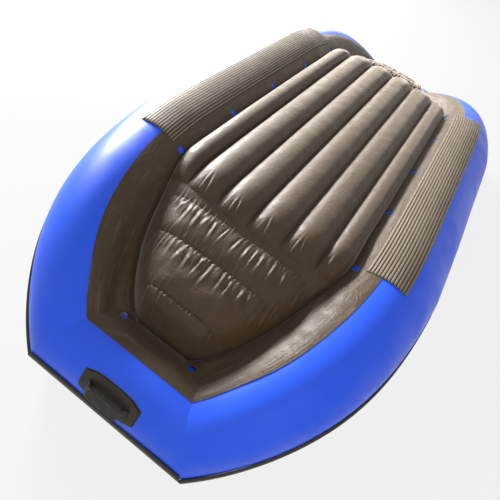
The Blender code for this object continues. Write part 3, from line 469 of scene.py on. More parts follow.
class Paint:
    """A material built node by node round one Principled shader."""

    def __init__(self, name, colour, roughness, metallic=0.0, specular=0.5, sheen=0.0):
        self.material = bpy.data.materials.new(name)
        self.material.use_nodes = True
        self.tree = self.material.node_tree
        self.shader = self.tree.nodes["Principled BSDF"]
        self.shader.inputs["Base Color"].default_value = (*colour, 1)
        self.shader.inputs["Roughness"].default_value = roughness
        self.shader.inputs["Metallic"].default_value = metallic
        self.shader.inputs["Specular IOR Level"].default_value = specular
        self.shader.inputs["Sheen Weight"].default_value = sheen
        self.shader.inputs["Sheen Roughness"].default_value = 0.40
        self.shader.inputs["Sheen Tint"].default_value = (1.0, 0.90, 0.76, 1)
        self.bump_end = None
        self.coordinates = self.node("ShaderNodeTexCoord")

    def node(self, kind, inputs=None, **values):
        return add_node(self.tree, kind, inputs, **values)

    def link(self, source, target):
        self.tree.links.new(source, target)

    def placed(self, where="Object", scale=(1, 1, 1)):
        inputs = {"Vector": self.coordinates.outputs[where], "Scale": scale}
        return self.node("ShaderNodeMapping", inputs).outputs["Vector"]

    def noise(self, scale, detail=3.0, rough=0.55, where="Object", stretch=(1, 1, 1), distortion=0.0):
        inputs = {"Scale": scale, "Detail": detail, "Roughness": rough, "Distortion": distortion}
        return self.node("ShaderNodeTexNoise", {"Vector": self.placed(where, stretch), **inputs}).outputs["Fac"]

    def maths(self, operation, a, b=0.5):
        return self.node("ShaderNodeMath", {0: a, 1: b}, operation=operation).outputs[0]

    def ranged(self, value, low, high, to_low=0.0, to_high=1.0):
        inputs = {"Value": value, "From Min": low, "From Max": high, "To Min": to_low, "To Max": to_high}
        return self.node("ShaderNodeMapRange", inputs, interpolation_type="SMOOTHSTEP").outputs["Result"]

    def threads(self, pitch):
        """A woven relief with a pitch in metres."""
        bands = [
            self.node(
                "ShaderNodeTexWave", {"Vector": self.placed("UV"), "Scale": 1 / (pitch * 6.2832 / 3.14159)},
                wave_type="BANDS", bands_direction=axis, wave_profile="SIN",
            ).outputs["Fac"]
            for axis in ("X", "Y")
        ]
        return self.maths("MULTIPLY", *bands)

    def stripes(self, pitch):
        """1 midway between two ridges and 0 on top of each, from the flat map's second distance."""
        parts = self.node("ShaderNodeSeparateXYZ", {0: self.placed("UV")})
        phase = self.maths("FRACT", self.maths("DIVIDE", parts.outputs["Y"], pitch))
        return self.maths("ABSOLUTE", self.maths("SUBTRACT", self.maths("MULTIPLY", phase, 2.0), 1.0))

    def tint(self, factor, colour):
        """Mixes a colour over the base colour so far."""
        socket = self.shader.inputs["Base Color"]
        so_far = socket.links[0].from_socket if socket.is_linked else tuple(socket.default_value)
        inputs = {"Factor": factor, "A": so_far, "B": (*linear(*colour), 1)}
        self.link(self.node("ShaderNodeMix", inputs, data_type="RGBA").outputs["Result"], socket)

    def bump(self, height, distance, strength=1.0):
        inputs = {"Strength": strength, "Distance": distance, "Height": height}
        if self.bump_end is not None:
            inputs["Normal"] = self.bump_end
        self.bump_end = self.node("ShaderNodeBump", inputs).outputs["Normal"]
        self.link(self.bump_end, self.shader.inputs["Normal"])

    def rough(self, value):
        self.link(value, self.shader.inputs["Roughness"])


def linear(red, green, blue):
    """A colour as a screen shows it, 0 to 255, as light."""
    return tuple(
        part / 255 / 12.92 if part <= 10.3 else ((part / 255 + 0.055) / 1.055) ** 2.4 for part in (red, green, blue)
    )


def coated_blue():
    paint = Paint("blue_coated_fabric", linear(40, 92, 244), 0.40, specular=0.42)
    broad = paint.noise(2.2, 3)
    paint.tint(paint.ranged(broad, 0.35, 0.75, 0.0, 0.35), (46, 96, 238))
    fine = paint.noise(38, 4, 0.6)
    paint.tint(paint.ranged(fine, 0.58, 0.82, 0.0, 0.08), (72, 104, 228))
    paint.rough(paint.ranged(paint.noise(9, 4), 0.3, 0.75, 0.36, 0.50))
    paint.bump(paint.threads(0.0016), 0.00012, 0.35)
    paint.bump(paint.noise(160, 3), 0.0002, 0.25)
    paint.bump(paint.noise(7, 2), 0.004, 0.08)
    return paint.material


def coated_dark(name, streaks):
    """The dark fabric, mottled by dust, with long soft folds where it is drawn round the ring, and a painted
    highlight on the folds' crests.
    """
    paint = Paint(name, linear(60, 45, 25), 0.48, specular=0.34, sheen=0.42)
    broad = paint.noise(3.0, 4)
    paint.tint(paint.ranged(broad, 0.35, 0.70, 0.0, 0.50), (74, 58, 38))
    dust = paint.noise(16, 6, 0.65, distortion=0.4)
    paint.tint(paint.ranged(dust, 0.55, 0.80, 0.0, 0.18), (108, 93, 72))
    paint.rough(paint.ranged(paint.noise(22, 4), 0.3, 0.7, 0.42, 0.58))
    paint.bump(paint.threads(0.0018), 0.00015, 0.40)
    paint.bump(paint.noise(190, 4, 0.7), 0.0011, 0.60)
    paint.bump(paint.noise(44, 4, 0.6, distortion=0.6), 0.0044, 0.42)
    if streaks:
        folds = paint.noise(52, 4, 0.6, where="UV", stretch=(0.10, 1, 1), distortion=0.3)
        paint.bump(folds, 0.0060, 0.42)
        # Painted highlight: the crests of the folds are painted a lighter brown.
        paint.tint(paint.ranged(folds, 0.52, 0.72, 0.0, 0.30), (118, 102, 80))
    return paint.material


def pad_rubber():
    paint = Paint("pad_rubber", linear(106, 94, 76), 0.50, specular=0.5)
    paint.tint(paint.ranged(paint.noise(5, 5), 0.40, 0.70, 0.0, 0.50), (122, 107, 84))
    paint.tint(paint.ranged(paint.noise(60, 5, 0.7), 0.55, 0.80, 0.0, 0.30), (150, 136, 112))
    # Painted highlight: the tops of the ridges are painted lighter.
    paint.tint(paint.ranged(paint.stripes(PAD_WIDTH / PAD_RIDGES), 0.04, 0.30, 0.30, 0.0), (158, 144, 122))
    # Painted shade: the grooves between the ridges are painted nearly black.
    paint.tint(paint.ranged(paint.stripes(PAD_WIDTH / PAD_RIDGES), 0.46, 0.80, 0.0, 0.92), (16, 13, 9))
    paint.rough(paint.ranged(paint.noise(40, 4), 0.3, 0.7, 0.40, 0.62))
    paint.bump(paint.noise(420, 3), 0.0003, 0.50)
    paint.bump(paint.noise(60, 3), 0.0010, 0.25)
    return paint.material


def moulded_rubber():
    paint = Paint("moulded_rubber", linear(34, 28, 20), 0.50, specular=0.45)
    paint.tint(paint.ranged(paint.noise(12, 5), 0.45, 0.75, 0.0, 0.45), (50, 42, 31))
    paint.rough(paint.ranged(paint.noise(50, 4), 0.3, 0.7, 0.42, 0.62))
    paint.bump(paint.noise(520, 3), 0.0002, 0.50)
    paint.bump(paint.noise(30, 3), 0.0008, 0.25)
    return paint.material


def inner_fabric():
    paint = Paint("inner_fabric", linear(150, 150, 148), 0.62)
    paint.tint(paint.ranged(paint.noise(8, 4), 0.4, 0.7, 0.0, 0.5), (170, 170, 166))
    paint.bump(paint.noise(600, 2), 0.0003, 0.5)
    return paint.material


def valve_plastic():
    paint = Paint("valve_plastic", linear(34, 34, 36), 0.42)
    paint.tint(paint.ranged(paint.noise(60, 4), 0.45, 0.75, 0.0, 0.4), (52, 52, 54))
    paint.rough(paint.ranged(paint.noise(150, 4), 0.3, 0.7, 0.34, 0.56))
    paint.bump(paint.noise(900, 2), 0.0001, 0.6)
    return paint.material


def spring_steel():
    paint = Paint("spring_steel", linear(190, 190, 188), 0.28, metallic=1.0)
    paint.rough(paint.ranged(paint.noise(300, 3), 0.3, 0.7, 0.20, 0.40))
    paint.bump(paint.noise(900, 2), 0.00005, 0.5)
    return paint.material


BLUE, PAD, RUBBER = coated_blue(), pad_rubber(), moulded_rubber()
DARK, WRAP = coated_dark("dark_floor_fabric", False), coated_dark("dark_wrap_fabric", True)
INNER, PLASTIC, STEEL = inner_fabric(), valve_plastic(), spring_steel()


# Where things lie along the ring, +X side

QUARTER = -HALF_LENGTH + (HALF_LENGTH - SIDE_END) * np.linspace(0, 1, 41)
SIDE = np.linspace(-SIDE_END, SIDE_END, 97)


def skin(name, stations):
    """A panel of a tube's skin."""
    angles = np.tile(np.linspace(0, 360, TUBE_SIDES, endpoint=False), (len(stations.radius), 1))
    swell = SKIN_SWELL * waves(stations.at(angles, 0.0), SWELL_SIZE, 1)
    front = stations.at(angles, swell)
    front[..., 2] = np.maximum(front[..., 2], GROUND_GAP)
    back = stations.at(angles, swell - FABRIC)
    back[..., 2] = np.maximum(back[..., 2], GROUND_GAP + FABRIC)
    return sheet(name + "_skin", front, back, BLUE, name, closed=True)


bow_line = np.linspace(-BOW_HALF_WIDTH, BOW_HALF_WIDTH, 41)
bow_right = side_stations(QUARTER)
stern_right = side_stations(-QUARTER[::-1])
right = side_stations(SIDE)
tubes = {
    "bow_tube": end_stations(-1, bow_line),
    "bow_quarter_right": bow_right,
    "side_tube_right": right,
    "stern_quarter_right": stern_right,
    "stern_tube": end_stations(1, bow_line[::-1]),
    "stern_quarter_left": stern_right.mirrored(),
    "side_tube_left": right.mirrored(),
    "bow_quarter_left": bow_right.mirrored(),
}
skins = {name: skin(name, stations) for name, stations in tubes.items()}


# Floor outline

def smooth_through(knots, values, at):
    """A smooth curve through knots without overshoot."""
    knots, values = np.asarray(knots, float), np.asarray(values, float)
    gaps = np.diff(knots)
    slopes = np.diff(values) / gaps
    tangents = np.zeros(len(knots))
    for i in range(1, len(knots) - 1):
        if slopes[i - 1] * slopes[i] > 0:
            w1, w2 = 2 * gaps[i] + gaps[i - 1], gaps[i] + 2 * gaps[i - 1]
            tangents[i] = (w1 + w2) / (w1 / slopes[i - 1] + w2 / slopes[i])
    tangents[0], tangents[-1] = slopes[0], slopes[-1]
    which = np.clip(np.searchsorted(knots, at) - 1, 0, len(gaps) - 1)
    t = (at - knots[which]) / gaps[which]
    h = gaps[which]
    return (
        (1 + 2 * t) * (1 - t) ** 2 * values[which] + t * (1 - t) ** 2 * h * tangents[which]
        + t * t * (3 - 2 * t) * values[which + 1] + t * t * (t - 1) * h * tangents[which + 1]
    )


side_knots = np.array([0.0, 0.3, 0.6, 0.75])
side_edge = side_stations(side_knots).at([FLOOR_EDGE_SIDE] * len(side_knots), SEAT)[:, 0]
EDGE_Y = np.concatenate([side_knots, [row[0] for row in OUTLINE]])
EDGE_X = np.concatenate([side_edge[:, 0], [row[1] for row in OUTLINE]])
EDGE_Z = np.concatenate([side_edge[:, 2], [row[2] for row in OUTLINE]])


def outline_x(along):
    return smooth_through(EDGE_Y, EDGE_X, np.minimum(np.abs(along), EDGE_Y[-1]))


def outline_z(along):
    return smooth_through(EDGE_Y, EDGE_Z, np.minimum(np.abs(along), EDGE_Y[-1]))


def outline_quadrant():
    """The crevice in the bow's +X quadrant: from the middle of the front edge to the middle of the side."""
    along = np.concatenate([np.linspace(EDGE_Y[-1], 1.2, 60), np.linspace(1.2, 0, 200)[1:]])
    curve = np.stack([outline_x(along), -along, outline_z(along)], -1)
    corner = curve[0]
    across = np.linspace(0, 1, 30)[:-1, None]
    front = np.array([0, -FRONT[0], FRONT[1]])
    return np.concatenate([front + (corner - front) * across, curve])


CREVICE = outline_quadrant()


def crevice_of(stations, mirror_x, mirror_y):
    """Where each cross line's plane meets the crevice, in the quadrant that the station lies in."""
    line = CREVICE * np.array([mirror_x, -mirror_y, 1.0])
    found = []
    for centre, plane in zip(stations.centre, stations.plane):
        side = (line - centre) @ plane
        hits = np.nonzero(side[:-1] * side[1:] <= 0)[0]
        if len(hits) == 0:
            found.append(line[np.argmin(np.abs(side))])
            continue
        spots = []
        for hit in hits:
            share = side[hit] / (side[hit] - side[hit + 1]) if side[hit] != side[hit + 1] else 0.0
            spots.append(line[hit] + (line[hit + 1] - line[hit]) * share)
        found.append(min(spots, key=lambda spot: np.linalg.norm(spot - centre)))
    return np.array(found)


def crevices(stations):
    """The floor's edge at each of any stations."""
    points = np.zeros_like(stations.centre)
    for x_sign in (1, -1):
        for y_sign in (-1, 1):
            which = (np.where(stations.centre[:, 0] >= 0, 1, -1) == x_sign)
            which &= (np.where(stations.centre[:, 1] >= 0, 1, -1) == y_sign)
            if which.any():
                points[which] = crevice_of(stations.picked(which), x_sign, y_sign)
    return points


def wrap_edge_side(along):
    far = np.abs(along)
    share = smooth_step((far - PAD_HALF) / (QUARTER_EDGE_FROM - PAD_HALF))
    point = smooth_step((far - POINT_FROM) / (HALF_LENGTH - POINT_FROM))
    edge = WRAP_EDGE_SIDE + (WRAP_EDGE_QUARTER - WRAP_EDGE_SIDE) * share
    return edge + (WRAP_EDGE_POINT - WRAP_EDGE_QUARTER) * point


def wrap_piece(name, stations, edge, seed, under):
    """The dark sheet from its cut edge down to the floor: on the tube at first, then straight to the crevice."""
    foot = crevices(stations)
    off = foot - stations.centre
    out, up = dot(off, stations.outward), dot(off, stations.upward)
    far = np.hypot(out, up)
    angle = np.degrees(np.arctan2(out, up))
    sheets = []
    for lift in (SEAT + WRAP_FABRIC, SEAT):
        reach = stations.radius + lift
        leave = angle + np.degrees(np.arccos(np.clip(reach / np.maximum(far, reach), 0, 1)))
        leave = np.minimum(leave, edge - 4)
        share = np.linspace(0, 1, 36)
        on_tube = edge[:, None] + (leave - edge)[:, None] * share
        tube_part = stations.at(on_tube, lift)
        last = tube_part[:, -1]
        down = foot + np.array([0, 0, lift - SEAT]) * 0.5
        span = np.linspace(0, 1, 17)[1:]
        sag = WRAP_SAG * np.clip((far - reach) / 0.05, 0, 1)
        bridge = last[:, None] + (down - last)[:, None] * span[None, :, None]
        bridge[..., 2] -= (sag[:, None] * np.sin(math.pi * span)[None])
        left = np.linalg.norm(down - last, axis=1)[:, None] * (1 - span)[None]
        bridge[..., 2] -= CREVICE_DEPTH * np.exp(-((left / 0.010) ** 2))
        bridge = clear_of_tubes(bridge, lift)
        sheets.append(np.concatenate([tube_part, bridge], 1))
    front, back = sheets
    ripple = WRAP_RIPPLE * waves(front, 0.16, seed)
    depth = np.linspace(0, 1, front.shape[1])[None, :]
    front[..., 2] += np.maximum(ripple, 0) * smooth_step(depth * 3) * smooth_step((1 - depth) * 6)
    return sheet(name + "_sheet", front, back, WRAP, name, rests_on=under)


def bow_wrap_line(end):
    """Stations and edge angles of the wrap at one end, in the order that goes round the raft."""
    first = side_stations(QUARTER) if end < 0 else side_stations(-QUARTER[::-1])
    last = first.mirrored()
    if end < 0:
        first, last = last, first
    across = np.linspace(end * BOW_HALF_WIDTH, -end * BOW_HALF_WIDTH, 61)[1:-1]
    full = first.joined(end_stations(end, across)).joined(last)
    straight = np.full(len(across), WRAP_EDGE_BOW)
    return full, np.concatenate([wrap_edge_side(QUARTER[::-1]), straight, wrap_edge_side(QUARTER)])


wraps = {}
for number, end in enumerate(("bow", "stern")):
    below = [f"{end}_tube_skin", f"{end}_quarter_right_skin", f"{end}_quarter_left_skin"]
    wraps[f"{end}_wrap"] = wrap_piece(f"{end}_wrap", *bow_wrap_line(2 * number - 1), 21 + number, below)
for side, line in (("right", right), ("left", right.mirrored())):
    name = f"side_wrap_{side}"
    wraps[name] = wrap_piece(name, line, wrap_edge_side(SIDE), 23, [f"side_tube_{side}_skin"])
for side, name in ((1, "side_wrap_right"), (-1, "side_wrap_left")):
    places = side_stations([DRAIN_PITCH * (number - SIDE_DRAINS // 2) for number in range(SIDE_DRAINS)])
    places = places if side > 0 else places.mirrored()
    turn = FLOOR_EDGE_SIDE + np.degrees(DRAIN_ABOVE_FLOOR / places.radius)
    spots = places.at(turn)[:, 0]
    cut_out(wraps[name], spots, spots - places.centre, DRAIN_RADIUS, 4 * DRAIN_RADIUS)
for end, name in ((-1, "bow_wrap"), (1, "stern_wrap")):
    spots = end_stations(end, [-BOW_DRAIN_HALF, BOW_DRAIN_HALF]).at([BOW_DRAIN_ANGLE] * 2)[:, 0]
    spots[:, 0] = [-BOW_DRAIN_HALF, BOW_DRAIN_HALF]
    ways = [(0, -end * math.sin(math.radians(-BOW_DRAIN_ANGLE)), math.cos(math.radians(BOW_DRAIN_ANGLE)))] * 2
    cut_out(wraps[name], spots, ways, DRAIN_RADIUS, 5 * DRAIN_RADIUS)


# Wear pads

def rounded_ridges(columns):
    """Across the pad from 0 to 1: the height of its ridges."""
    phase = (columns * PAD_RIDGES) % 1.0
    return smooth_step(np.minimum(phase / 0.24, (1 - phase) / 0.24))


def wear_pad(name, stations):
    across = np.linspace(0, 1, PAD_RIDGES * 16 + 1)
    arc = (across - 0.5) * PAD_WIDTH
    angle = PAD_CENTRE + np.degrees(arc[None, :] / stations.radius[:, None])
    base = SEAT + WRAP_FABRIC + SEAT + PAD_BASE
    ends = np.arange(len(stations.radius))
    near = np.minimum(ends, len(ends) - 1 - ends)
    slope = smooth_step(near / 3.0)[:, None]
    top = stations.at(angle, base + PAD_RIDGE * rounded_ridges(across)[None, :] * slope)
    under_arc = np.linspace(0.5, -0.5, 25) * PAD_WIDTH
    on_wrap = under_arc < math.radians(WRAP_EDGE_SIDE - PAD_CENTRE) * SIDE_RADIUS
    under_lift = np.where(on_wrap, SEAT + WRAP_FABRIC + SEAT, SEAT)
    under_angle = PAD_CENTRE + np.degrees(under_arc[None, :] / stations.radius[:, None])
    under = stations.at(under_angle, under_lift[None, :])
    plain = np.concatenate([arc + PAD_WIDTH / 2, under_arc + PAD_WIDTH / 2])
    lengths = np.stack(np.broadcast_arrays(stations.centre[:, 1:2], plain[None, :]), -1).reshape(-1, 2)
    stands_for(swept(name + "_form", np.concatenate([top, under], 1), PAD, lengths=lengths), name)


pad_line = np.concatenate([
    [-PAD_HALF, -PAD_HALF + 0.0015, -PAD_HALF + 0.003, -PAD_HALF + 0.0045],
    np.linspace(-PAD_HALF + 0.02, PAD_HALF - 0.02, 60),
    [PAD_HALF - 0.0045, PAD_HALF - 0.003, PAD_HALF - 0.0015, PAD_HALF],
])
pads = side_stations(pad_line)
wear_pad("wear_pad_right", pads)
wear_pad("wear_pad_left", pads.mirrored())


# Strake

def strake(name, stations):
    turn = np.linspace(0, math.pi, 15)
    half = STRAKE_WIDTH / 2
    bow = half * np.sign(np.cos(turn)) * np.abs(np.cos(turn)) ** 0.55
    across = np.concatenate([bow, [-half * 0.5, 0, half * 0.5]])
    high = np.concatenate([0.0015 + (STRAKE_THICKNESS - 0.0015) * np.sin(turn) ** 0.6, [SEAT, SEAT, SEAT]])
    angle = STRAKE_ANGLE + np.degrees(across[None, :] / stations.radius[:, None])
    stands_for(swept(name + "_form", stations.at(angle, SEAT + high[None, :]), RUBBER), name)


full_side = np.concatenate([QUARTER, SIDE[1:-1], -QUARTER[::-1]])
whole = side_stations(full_side)
strake("side_strake_right", whole)
strake("side_strake_left", whole.mirrored())
strake("bow_strake", end_stations(-1, bow_line))
strake("stern_strake", end_stations(1, bow_line[::-1]))


# The inflated floor

def floor_lines():
    """Distances along the raft of the floor's cross lines, closest at the seams."""
    half = np.concatenate([
        np.linspace(0, 0.66, 60), np.linspace(0.66, 0.90, 40)[1:], np.linspace(0.90, 1.33, 190)[1:],
        np.linspace(1.33, FRONT[0], 24)[1:],
    ])
    return np.concatenate([-half[::-1], half[1:]])


def beam_profile(x, width, nose):
    """0 in each valley and at the floor's edges, rising round to 1 over each beam, narrower near the beams' tips."""
    inner = np.tile([-v for v in VALLEYS[:0:-1]] + list(VALLEYS), (len(width), 1))
    stops = np.concatenate([-width[:, None], inner, width[:, None]], 1)
    profile = np.zeros_like(x)
    for low, high in zip(stops.T[:-1], stops.T[1:]):
        share = (x - low[:, None]) / np.maximum(high - low, 1e-6)[:, None]
        inside = (share >= 0) & (share <= 1)
        bow = np.clip(4 * share * (1 - share), 1e-9, 1)
        profile = np.where(inside, bow ** (0.52 + 0.45 * nose**3), profile)
    return profile


def crease(height, x, y, centre, place, lean, width, length, depth):
    """One short crease along the raft: a groove with a ridge beside it, on its +X side."""
    rows = np.abs(y[:, 0] - place) < 3 * length
    away = y[rows] - place
    shift = (x[rows] - centre - lean * away) / width
    form = np.exp(-np.abs(shift) ** 1.6) - 0.8 * np.exp(-np.abs(shift - 1.7) ** 1.6)
    height[rows] -= depth * form * np.exp(-((np.abs(away) / length) ** 1.6))


def puckers(x, y, sign):
    """Creases at the seams of one end: short ones on each seam, a row of longer ones beside it, forks at the tips."""
    height = np.zeros_like(x)
    for seam_number, seam in enumerate(SEAMS):
        reach = SEAM_REACHES[seam_number]
        for sort, (away, counts, widths, lengths, depths) in enumerate(SEAM_CREASES):
            count = counts[seam_number]
            for number in range(count):
                seed = (seam_number + 1 + 7 * sort, number, sign * 3 + 5)
                centre = -reach + 2 * reach * (number + 0.2 + 0.6 * hashed(*seed)) / count
                width = widths[0] + widths[1] * hashed(*seed, 2)
                length = lengths[0] + lengths[1] * hashed(*seed, 5)
                lean = sign * (0.06 + 0.24 * (hashed(*seed, 8) - 0.5))
                depth = depths[0] + depths[1] * hashed(*seed, 13)
                place = sign * (seam + away + 0.018 * (hashed(*seed, 17) - 0.5))
                crease(height, x, y, centre, place, lean, width, length, depth)
        groove = np.exp(-(((y - sign * seam) / 0.006) ** 2)) * np.clip((reach + 0.04 - np.abs(x)) / 0.04, 0, 1)
        height -= SEAM_GROOVE * groove
    for beam in range(-3, 3):
        for number, part in enumerate((0.20, 0.34, 0.48)):
            seed = (31 + beam, number, sign * 3 + 5)
            centre = (beam + part + 0.14 * (hashed(*seed) - 0.5)) * VALLEYS[1]
            place = sign * (0.885 - 0.06 * (centre / 0.40) ** 2 + 0.010 * (hashed(*seed, 3) - 0.5))
            lean = sign * (0.10 + 0.9 * (part - 0.36))
            depth = max(0, 0.0060 * (hashed(*seed, 9) - 0.25))
            crease(height, x, y, centre, place, lean, 0.0045, 0.018 + 0.020 * hashed(*seed, 6), depth)
    return height


def floor_top():
    along = floor_lines()
    across = np.linspace(-1, 1, 381)
    across = np.sign(across) * (1 - (1 - np.abs(across)) ** 1.15)
    width = outline_x(along)
    beyond = np.clip((np.abs(along) - EDGE_Y[-1]) / (FRONT[0] - EDGE_Y[-1]), 0, 1)
    edge = outline_z(along) * (1 - beyond) + FRONT[1] * beyond
    x = width[:, None] * across[None, :]
    y = np.repeat(along[:, None], len(across), 1)
    far = np.abs(along)
    level = smooth_through(*zip(*MIDDLE_LEVELS), np.minimum(far, FRONT[0]))
    dome = (1 - np.abs(across[None, :]) ** 4.5)
    z = edge[:, None] + np.maximum(level - edge, 0)[:, None] * dome
    for low, high, rise in PILLOWS:
        share = np.clip((far - low) / (high - low), 0, 1)
        swell = (rise * np.clip(4 * share * (1 - share), 0, 1) ** 0.6)[:, None]
        z += swell * np.clip(1 - np.abs(across[None, :]) ** 6, 0, 1)
    tip = NOSE_TO - 0.05 * (x / 0.40) ** 2
    nose = np.clip((np.abs(y) - NOSE_FROM) / (tip - NOSE_FROM), 0, 1)
    beams = beam_profile(x, width, nose) * np.clip(1 - nose**2.4, 0, 1) ** 0.60
    z += BEAM_RISE * beams
    inside = smooth_step((1 - np.abs(across[None, :])) * width[:, None] / 0.030)
    z += np.where(y < 0, puckers(x, y, -1), puckers(x, y, 1)) * inside
    ripple = waves(np.stack([x, y, z * 0], -1), 0.10, 51, 20)
    calm = 0.35 + 0.65 * smooth_step((np.abs(y) - 0.75) / 0.2)
    z += FLOOR_RIPPLE * ripple * calm * np.clip(4 * (1 - np.abs(across[None, :])), 0, 1)
    rim = np.minimum((1 - np.abs(across[None, :])) * width[:, None], (FRONT[0] - far)[:, None])
    z -= CREVICE_DEPTH * np.exp(-((rim / 0.008) ** 2))
    return np.stack([x, y, z], -1)


top = floor_top()
front_face, back_face = (top[:, ::-1] + np.array([0, 0, lift]) for lift in (SEAT + FABRIC, SEAT))
sheet("floor_underside_sheet", front_face, back_face, DARK, "floor_underside")


def deck_form():
    """The cockpit side of the floor, row by row from the bow, with the wall that stands against the tubes."""
    rows = np.concatenate([np.linspace(-9.7, -4, 100), np.linspace(-4, 4, 200)[1:-1], np.linspace(4, 9.7, 100)])
    far, end = np.abs(rows), np.sign(rows)

    def through(values):
        return smooth_through(range(11), values, far)

    share = np.linspace(-1, 1, 201)
    foot_x, foot_y, foot_z = through(DECK_X), through(DECK_Y) * end, through(DECK_Z)
    x = foot_x[:, None] * share
    beams = beam_profile(x, foot_x, np.zeros_like(x)) ** 0.7 * through(BEAM_FADE)[:, None]
    z = foot_z[:, None] + DECK_PANEL_RISE * through(DECK_PANEL)[:, None] * (1 - share**4) - DECK_DROP * beams
    deck = np.stack([x, np.repeat(foot_y[:, None], len(share), 1), z], -1)
    top_y = through(WALL_TOP_Y)
    edge = np.stack([outline_x(top_y), top_y * end, outline_z(top_y) - CREVICE_DEPTH - SEAT], -1)
    part = np.linspace(0, 1, 13)[1:, None]
    wall = deck[:, -1:] + (edge - deck[:, -1])[:, None] * part
    wall = clear_of_tubes(wall, 3 * SEAT)
    across = np.array([-1, 1, 1])
    form = np.concatenate([(wall * across)[:, ::-1], deck, wall], 1)
    beside = np.linspace(0.92, 1, 13)[1:]
    shares = np.concatenate([-beside[::-1], share * 0.92, beside])
    corner = np.array([EDGE_X[-1], EDGE_Y[-1], EDGE_Z[-1]])
    level = FRONT[1] + (corner[2] - FRONT[1]) * np.abs(shares) - CREVICE_DEPTH - SEAT
    front = np.stack([corner[0] * shares, FRONT[0] + (corner[1] - FRONT[0]) * np.abs(shares), level], -1)
    rise = form[-1] + (front - form[-1]) * part[:, None]
    rise = clear_of_tubes(rise, 3 * SEAT)
    return np.concatenate([(rise * np.array([1, -1, 1]))[::-1], form, rise])


def inward(form):
    """The direction square to a grid of points at each of them, to the inside of the floor."""
    ways = np.cross(np.gradient(form, axis=1), np.gradient(form, axis=0))
    return ways / np.maximum(np.linalg.norm(ways, axis=-1, keepdims=True), 1e-12)


deck = deck_form()
deck_skin = sheet("floor_deck_sheet", deck, deck + FABRIC * inward(deck), DARK, "floor_deck")
cut_out(deck_skin, [FLOOR_VALVE], [(0, 0, 1)], VALVE_HOLE, HOLE_REACH)


def level_at(form, x, y):
    """The level of a grid of points at a distance across, at each of some distances along the raft."""
    rows = np.array([np.interp(x, row[:, 0], row[:, 2]) for row in form])
    return np.interp(y, form[:, form.shape[1] // 2, 1], rows)


# The walls inside the floor, up to its underside from its deck
inner_deck = deck[12:-12, 12:-12]


def web(name, x, y, low, high, across):
    """A wall between two levels, as thick as a web to both sides of its line."""
    foot, head = (np.stack([x, y, level], -1) for level in (low, high))
    rows = foot[:, None] + (head - foot)[:, None] * np.linspace(0, 1, 9)[None, :, None]
    sheet(f"{name}_sheet", rows + across, rows - across, INNER, name)


for number in range(-2, 3):
    y = np.linspace(-SEAMS[0] + 0.0015, SEAMS[0] - 0.0015, 161)
    x = number * VALLEYS[1]
    low, high = level_at(inner_deck, x, y) + FABRIC + SEAT, level_at(top, x, y) - SEAT
    web(f"floor_web_{number + 3}", np.full_like(y, x), y, low, high, np.array([WEB / 2, 0, 0]))
for end, sign in (("bow", -1), ("stern", 1)):
    for number, seam in enumerate(SEAMS):
        half = float(min(outline_x(np.array([seam]))[0], np.interp(seam, DECK_Y, DECK_X))) - 0.008
        x = np.linspace(-half, half, 61)
        low = np.array([level_at(inner_deck, spot, sign * seam) for spot in x]) + 0.003
        high = np.array([level_at(top, spot, sign * seam) for spot in x]) - 0.004 * (1 + (x / half) ** 4)
        name = f"{end}_cross_web_{number + 1}"
        web(name, x, np.full_like(x, sign * seam), low, high, np.array([0, WEB / 2, 0]))


def baffle(name, stations):
    """A dish across a tube between two air chambers, with a rim that is glued to the skin."""
    front, back = stations.picked([0]), stations.picked([1])
    turn = np.linspace(0, 360, 72, endpoint=False)[None]
    bulge = normal(front.centre[0] - back.centre[0])
    outer = front.radius[0] - 0.0025
    layers = []
    for depth in (0.0, FABRIC):
        dish = [
            front.at(turn, size * (1 - depth / outer) - front.radius[0])[0]
            + bulge * (BAFFLE_BULGE * (1 - (size / outer) ** 2) - depth)
            for size in np.linspace(0.002, outer, 24)
        ]
        over = back.at(turn, outer - depth - back.radius[0])[0] - dish[-1]
        rim = [dish[-1] + over * part for part in (0.1, 0.5, 1)]
        layers.append(np.array(dish + rim))
    sheet(f"{name}_sheet", *layers, INNER, name, closed=True)


for end, sign in (("bow", -1), ("stern", 1)):
    baffle(f"{end}_baffle", end_stations(sign, [0, BAFFLE_RIM]))
baffle("side_baffle_right", side_stations([0, BAFFLE_RIM]))
left_line = side_stations([0, -BAFFLE_RIM]).mirrored()
baffle("side_baffle_left", left_line.picked([1, 0]))


# Handles

def crosswise(end, across):
    """Cross lines of the straight tube, square to it."""
    here = end_stations(end, across)
    return Stations(here.centre, here.along, here.outward, here.upward, here.along, here.radius)


def plate(name, end, border, low, high):
    """A long slab with cut corners and a rounded edge, bent to the tube."""
    reach = HANDLE_HALF + border
    steps = np.concatenate([[0, 0.0006, 0.0016, 0.003], np.linspace(0.004, 2 * reach - 0.004, 60)])
    steps = np.concatenate([steps, 2 * reach - steps[3::-1]])
    along = steps - reach
    half = np.interp(along / reach, *zip(*HANDLE_SHARES)) * HANDLE_WIDTH / 2 + border
    parts = np.linspace(-1, 1, 41)
    parts = np.sign(parts) * (1 - (1 - np.abs(parts)) ** 1.8)
    here = crosswise(end, along)
    arc = half[:, None] * parts
    rim = np.minimum((reach - np.abs(along))[:, None], half[:, None] * (1 - np.abs(parts)))
    radius = min(high - low, 0.003)
    rounded = high - radius * (1 - np.sqrt(1 - (1 - np.clip(rim / radius, 0, 1)) ** 2))
    upper = here.at(HANDLE_ANGLE + np.degrees(arc / here.radius[:, None]), rounded)
    lower = here.at(HANDLE_ANGLE + np.degrees(arc / here.radius[:, None]), low)
    return swept(name, np.concatenate([upper, lower[:, ::-1]], 1), RUBBER)


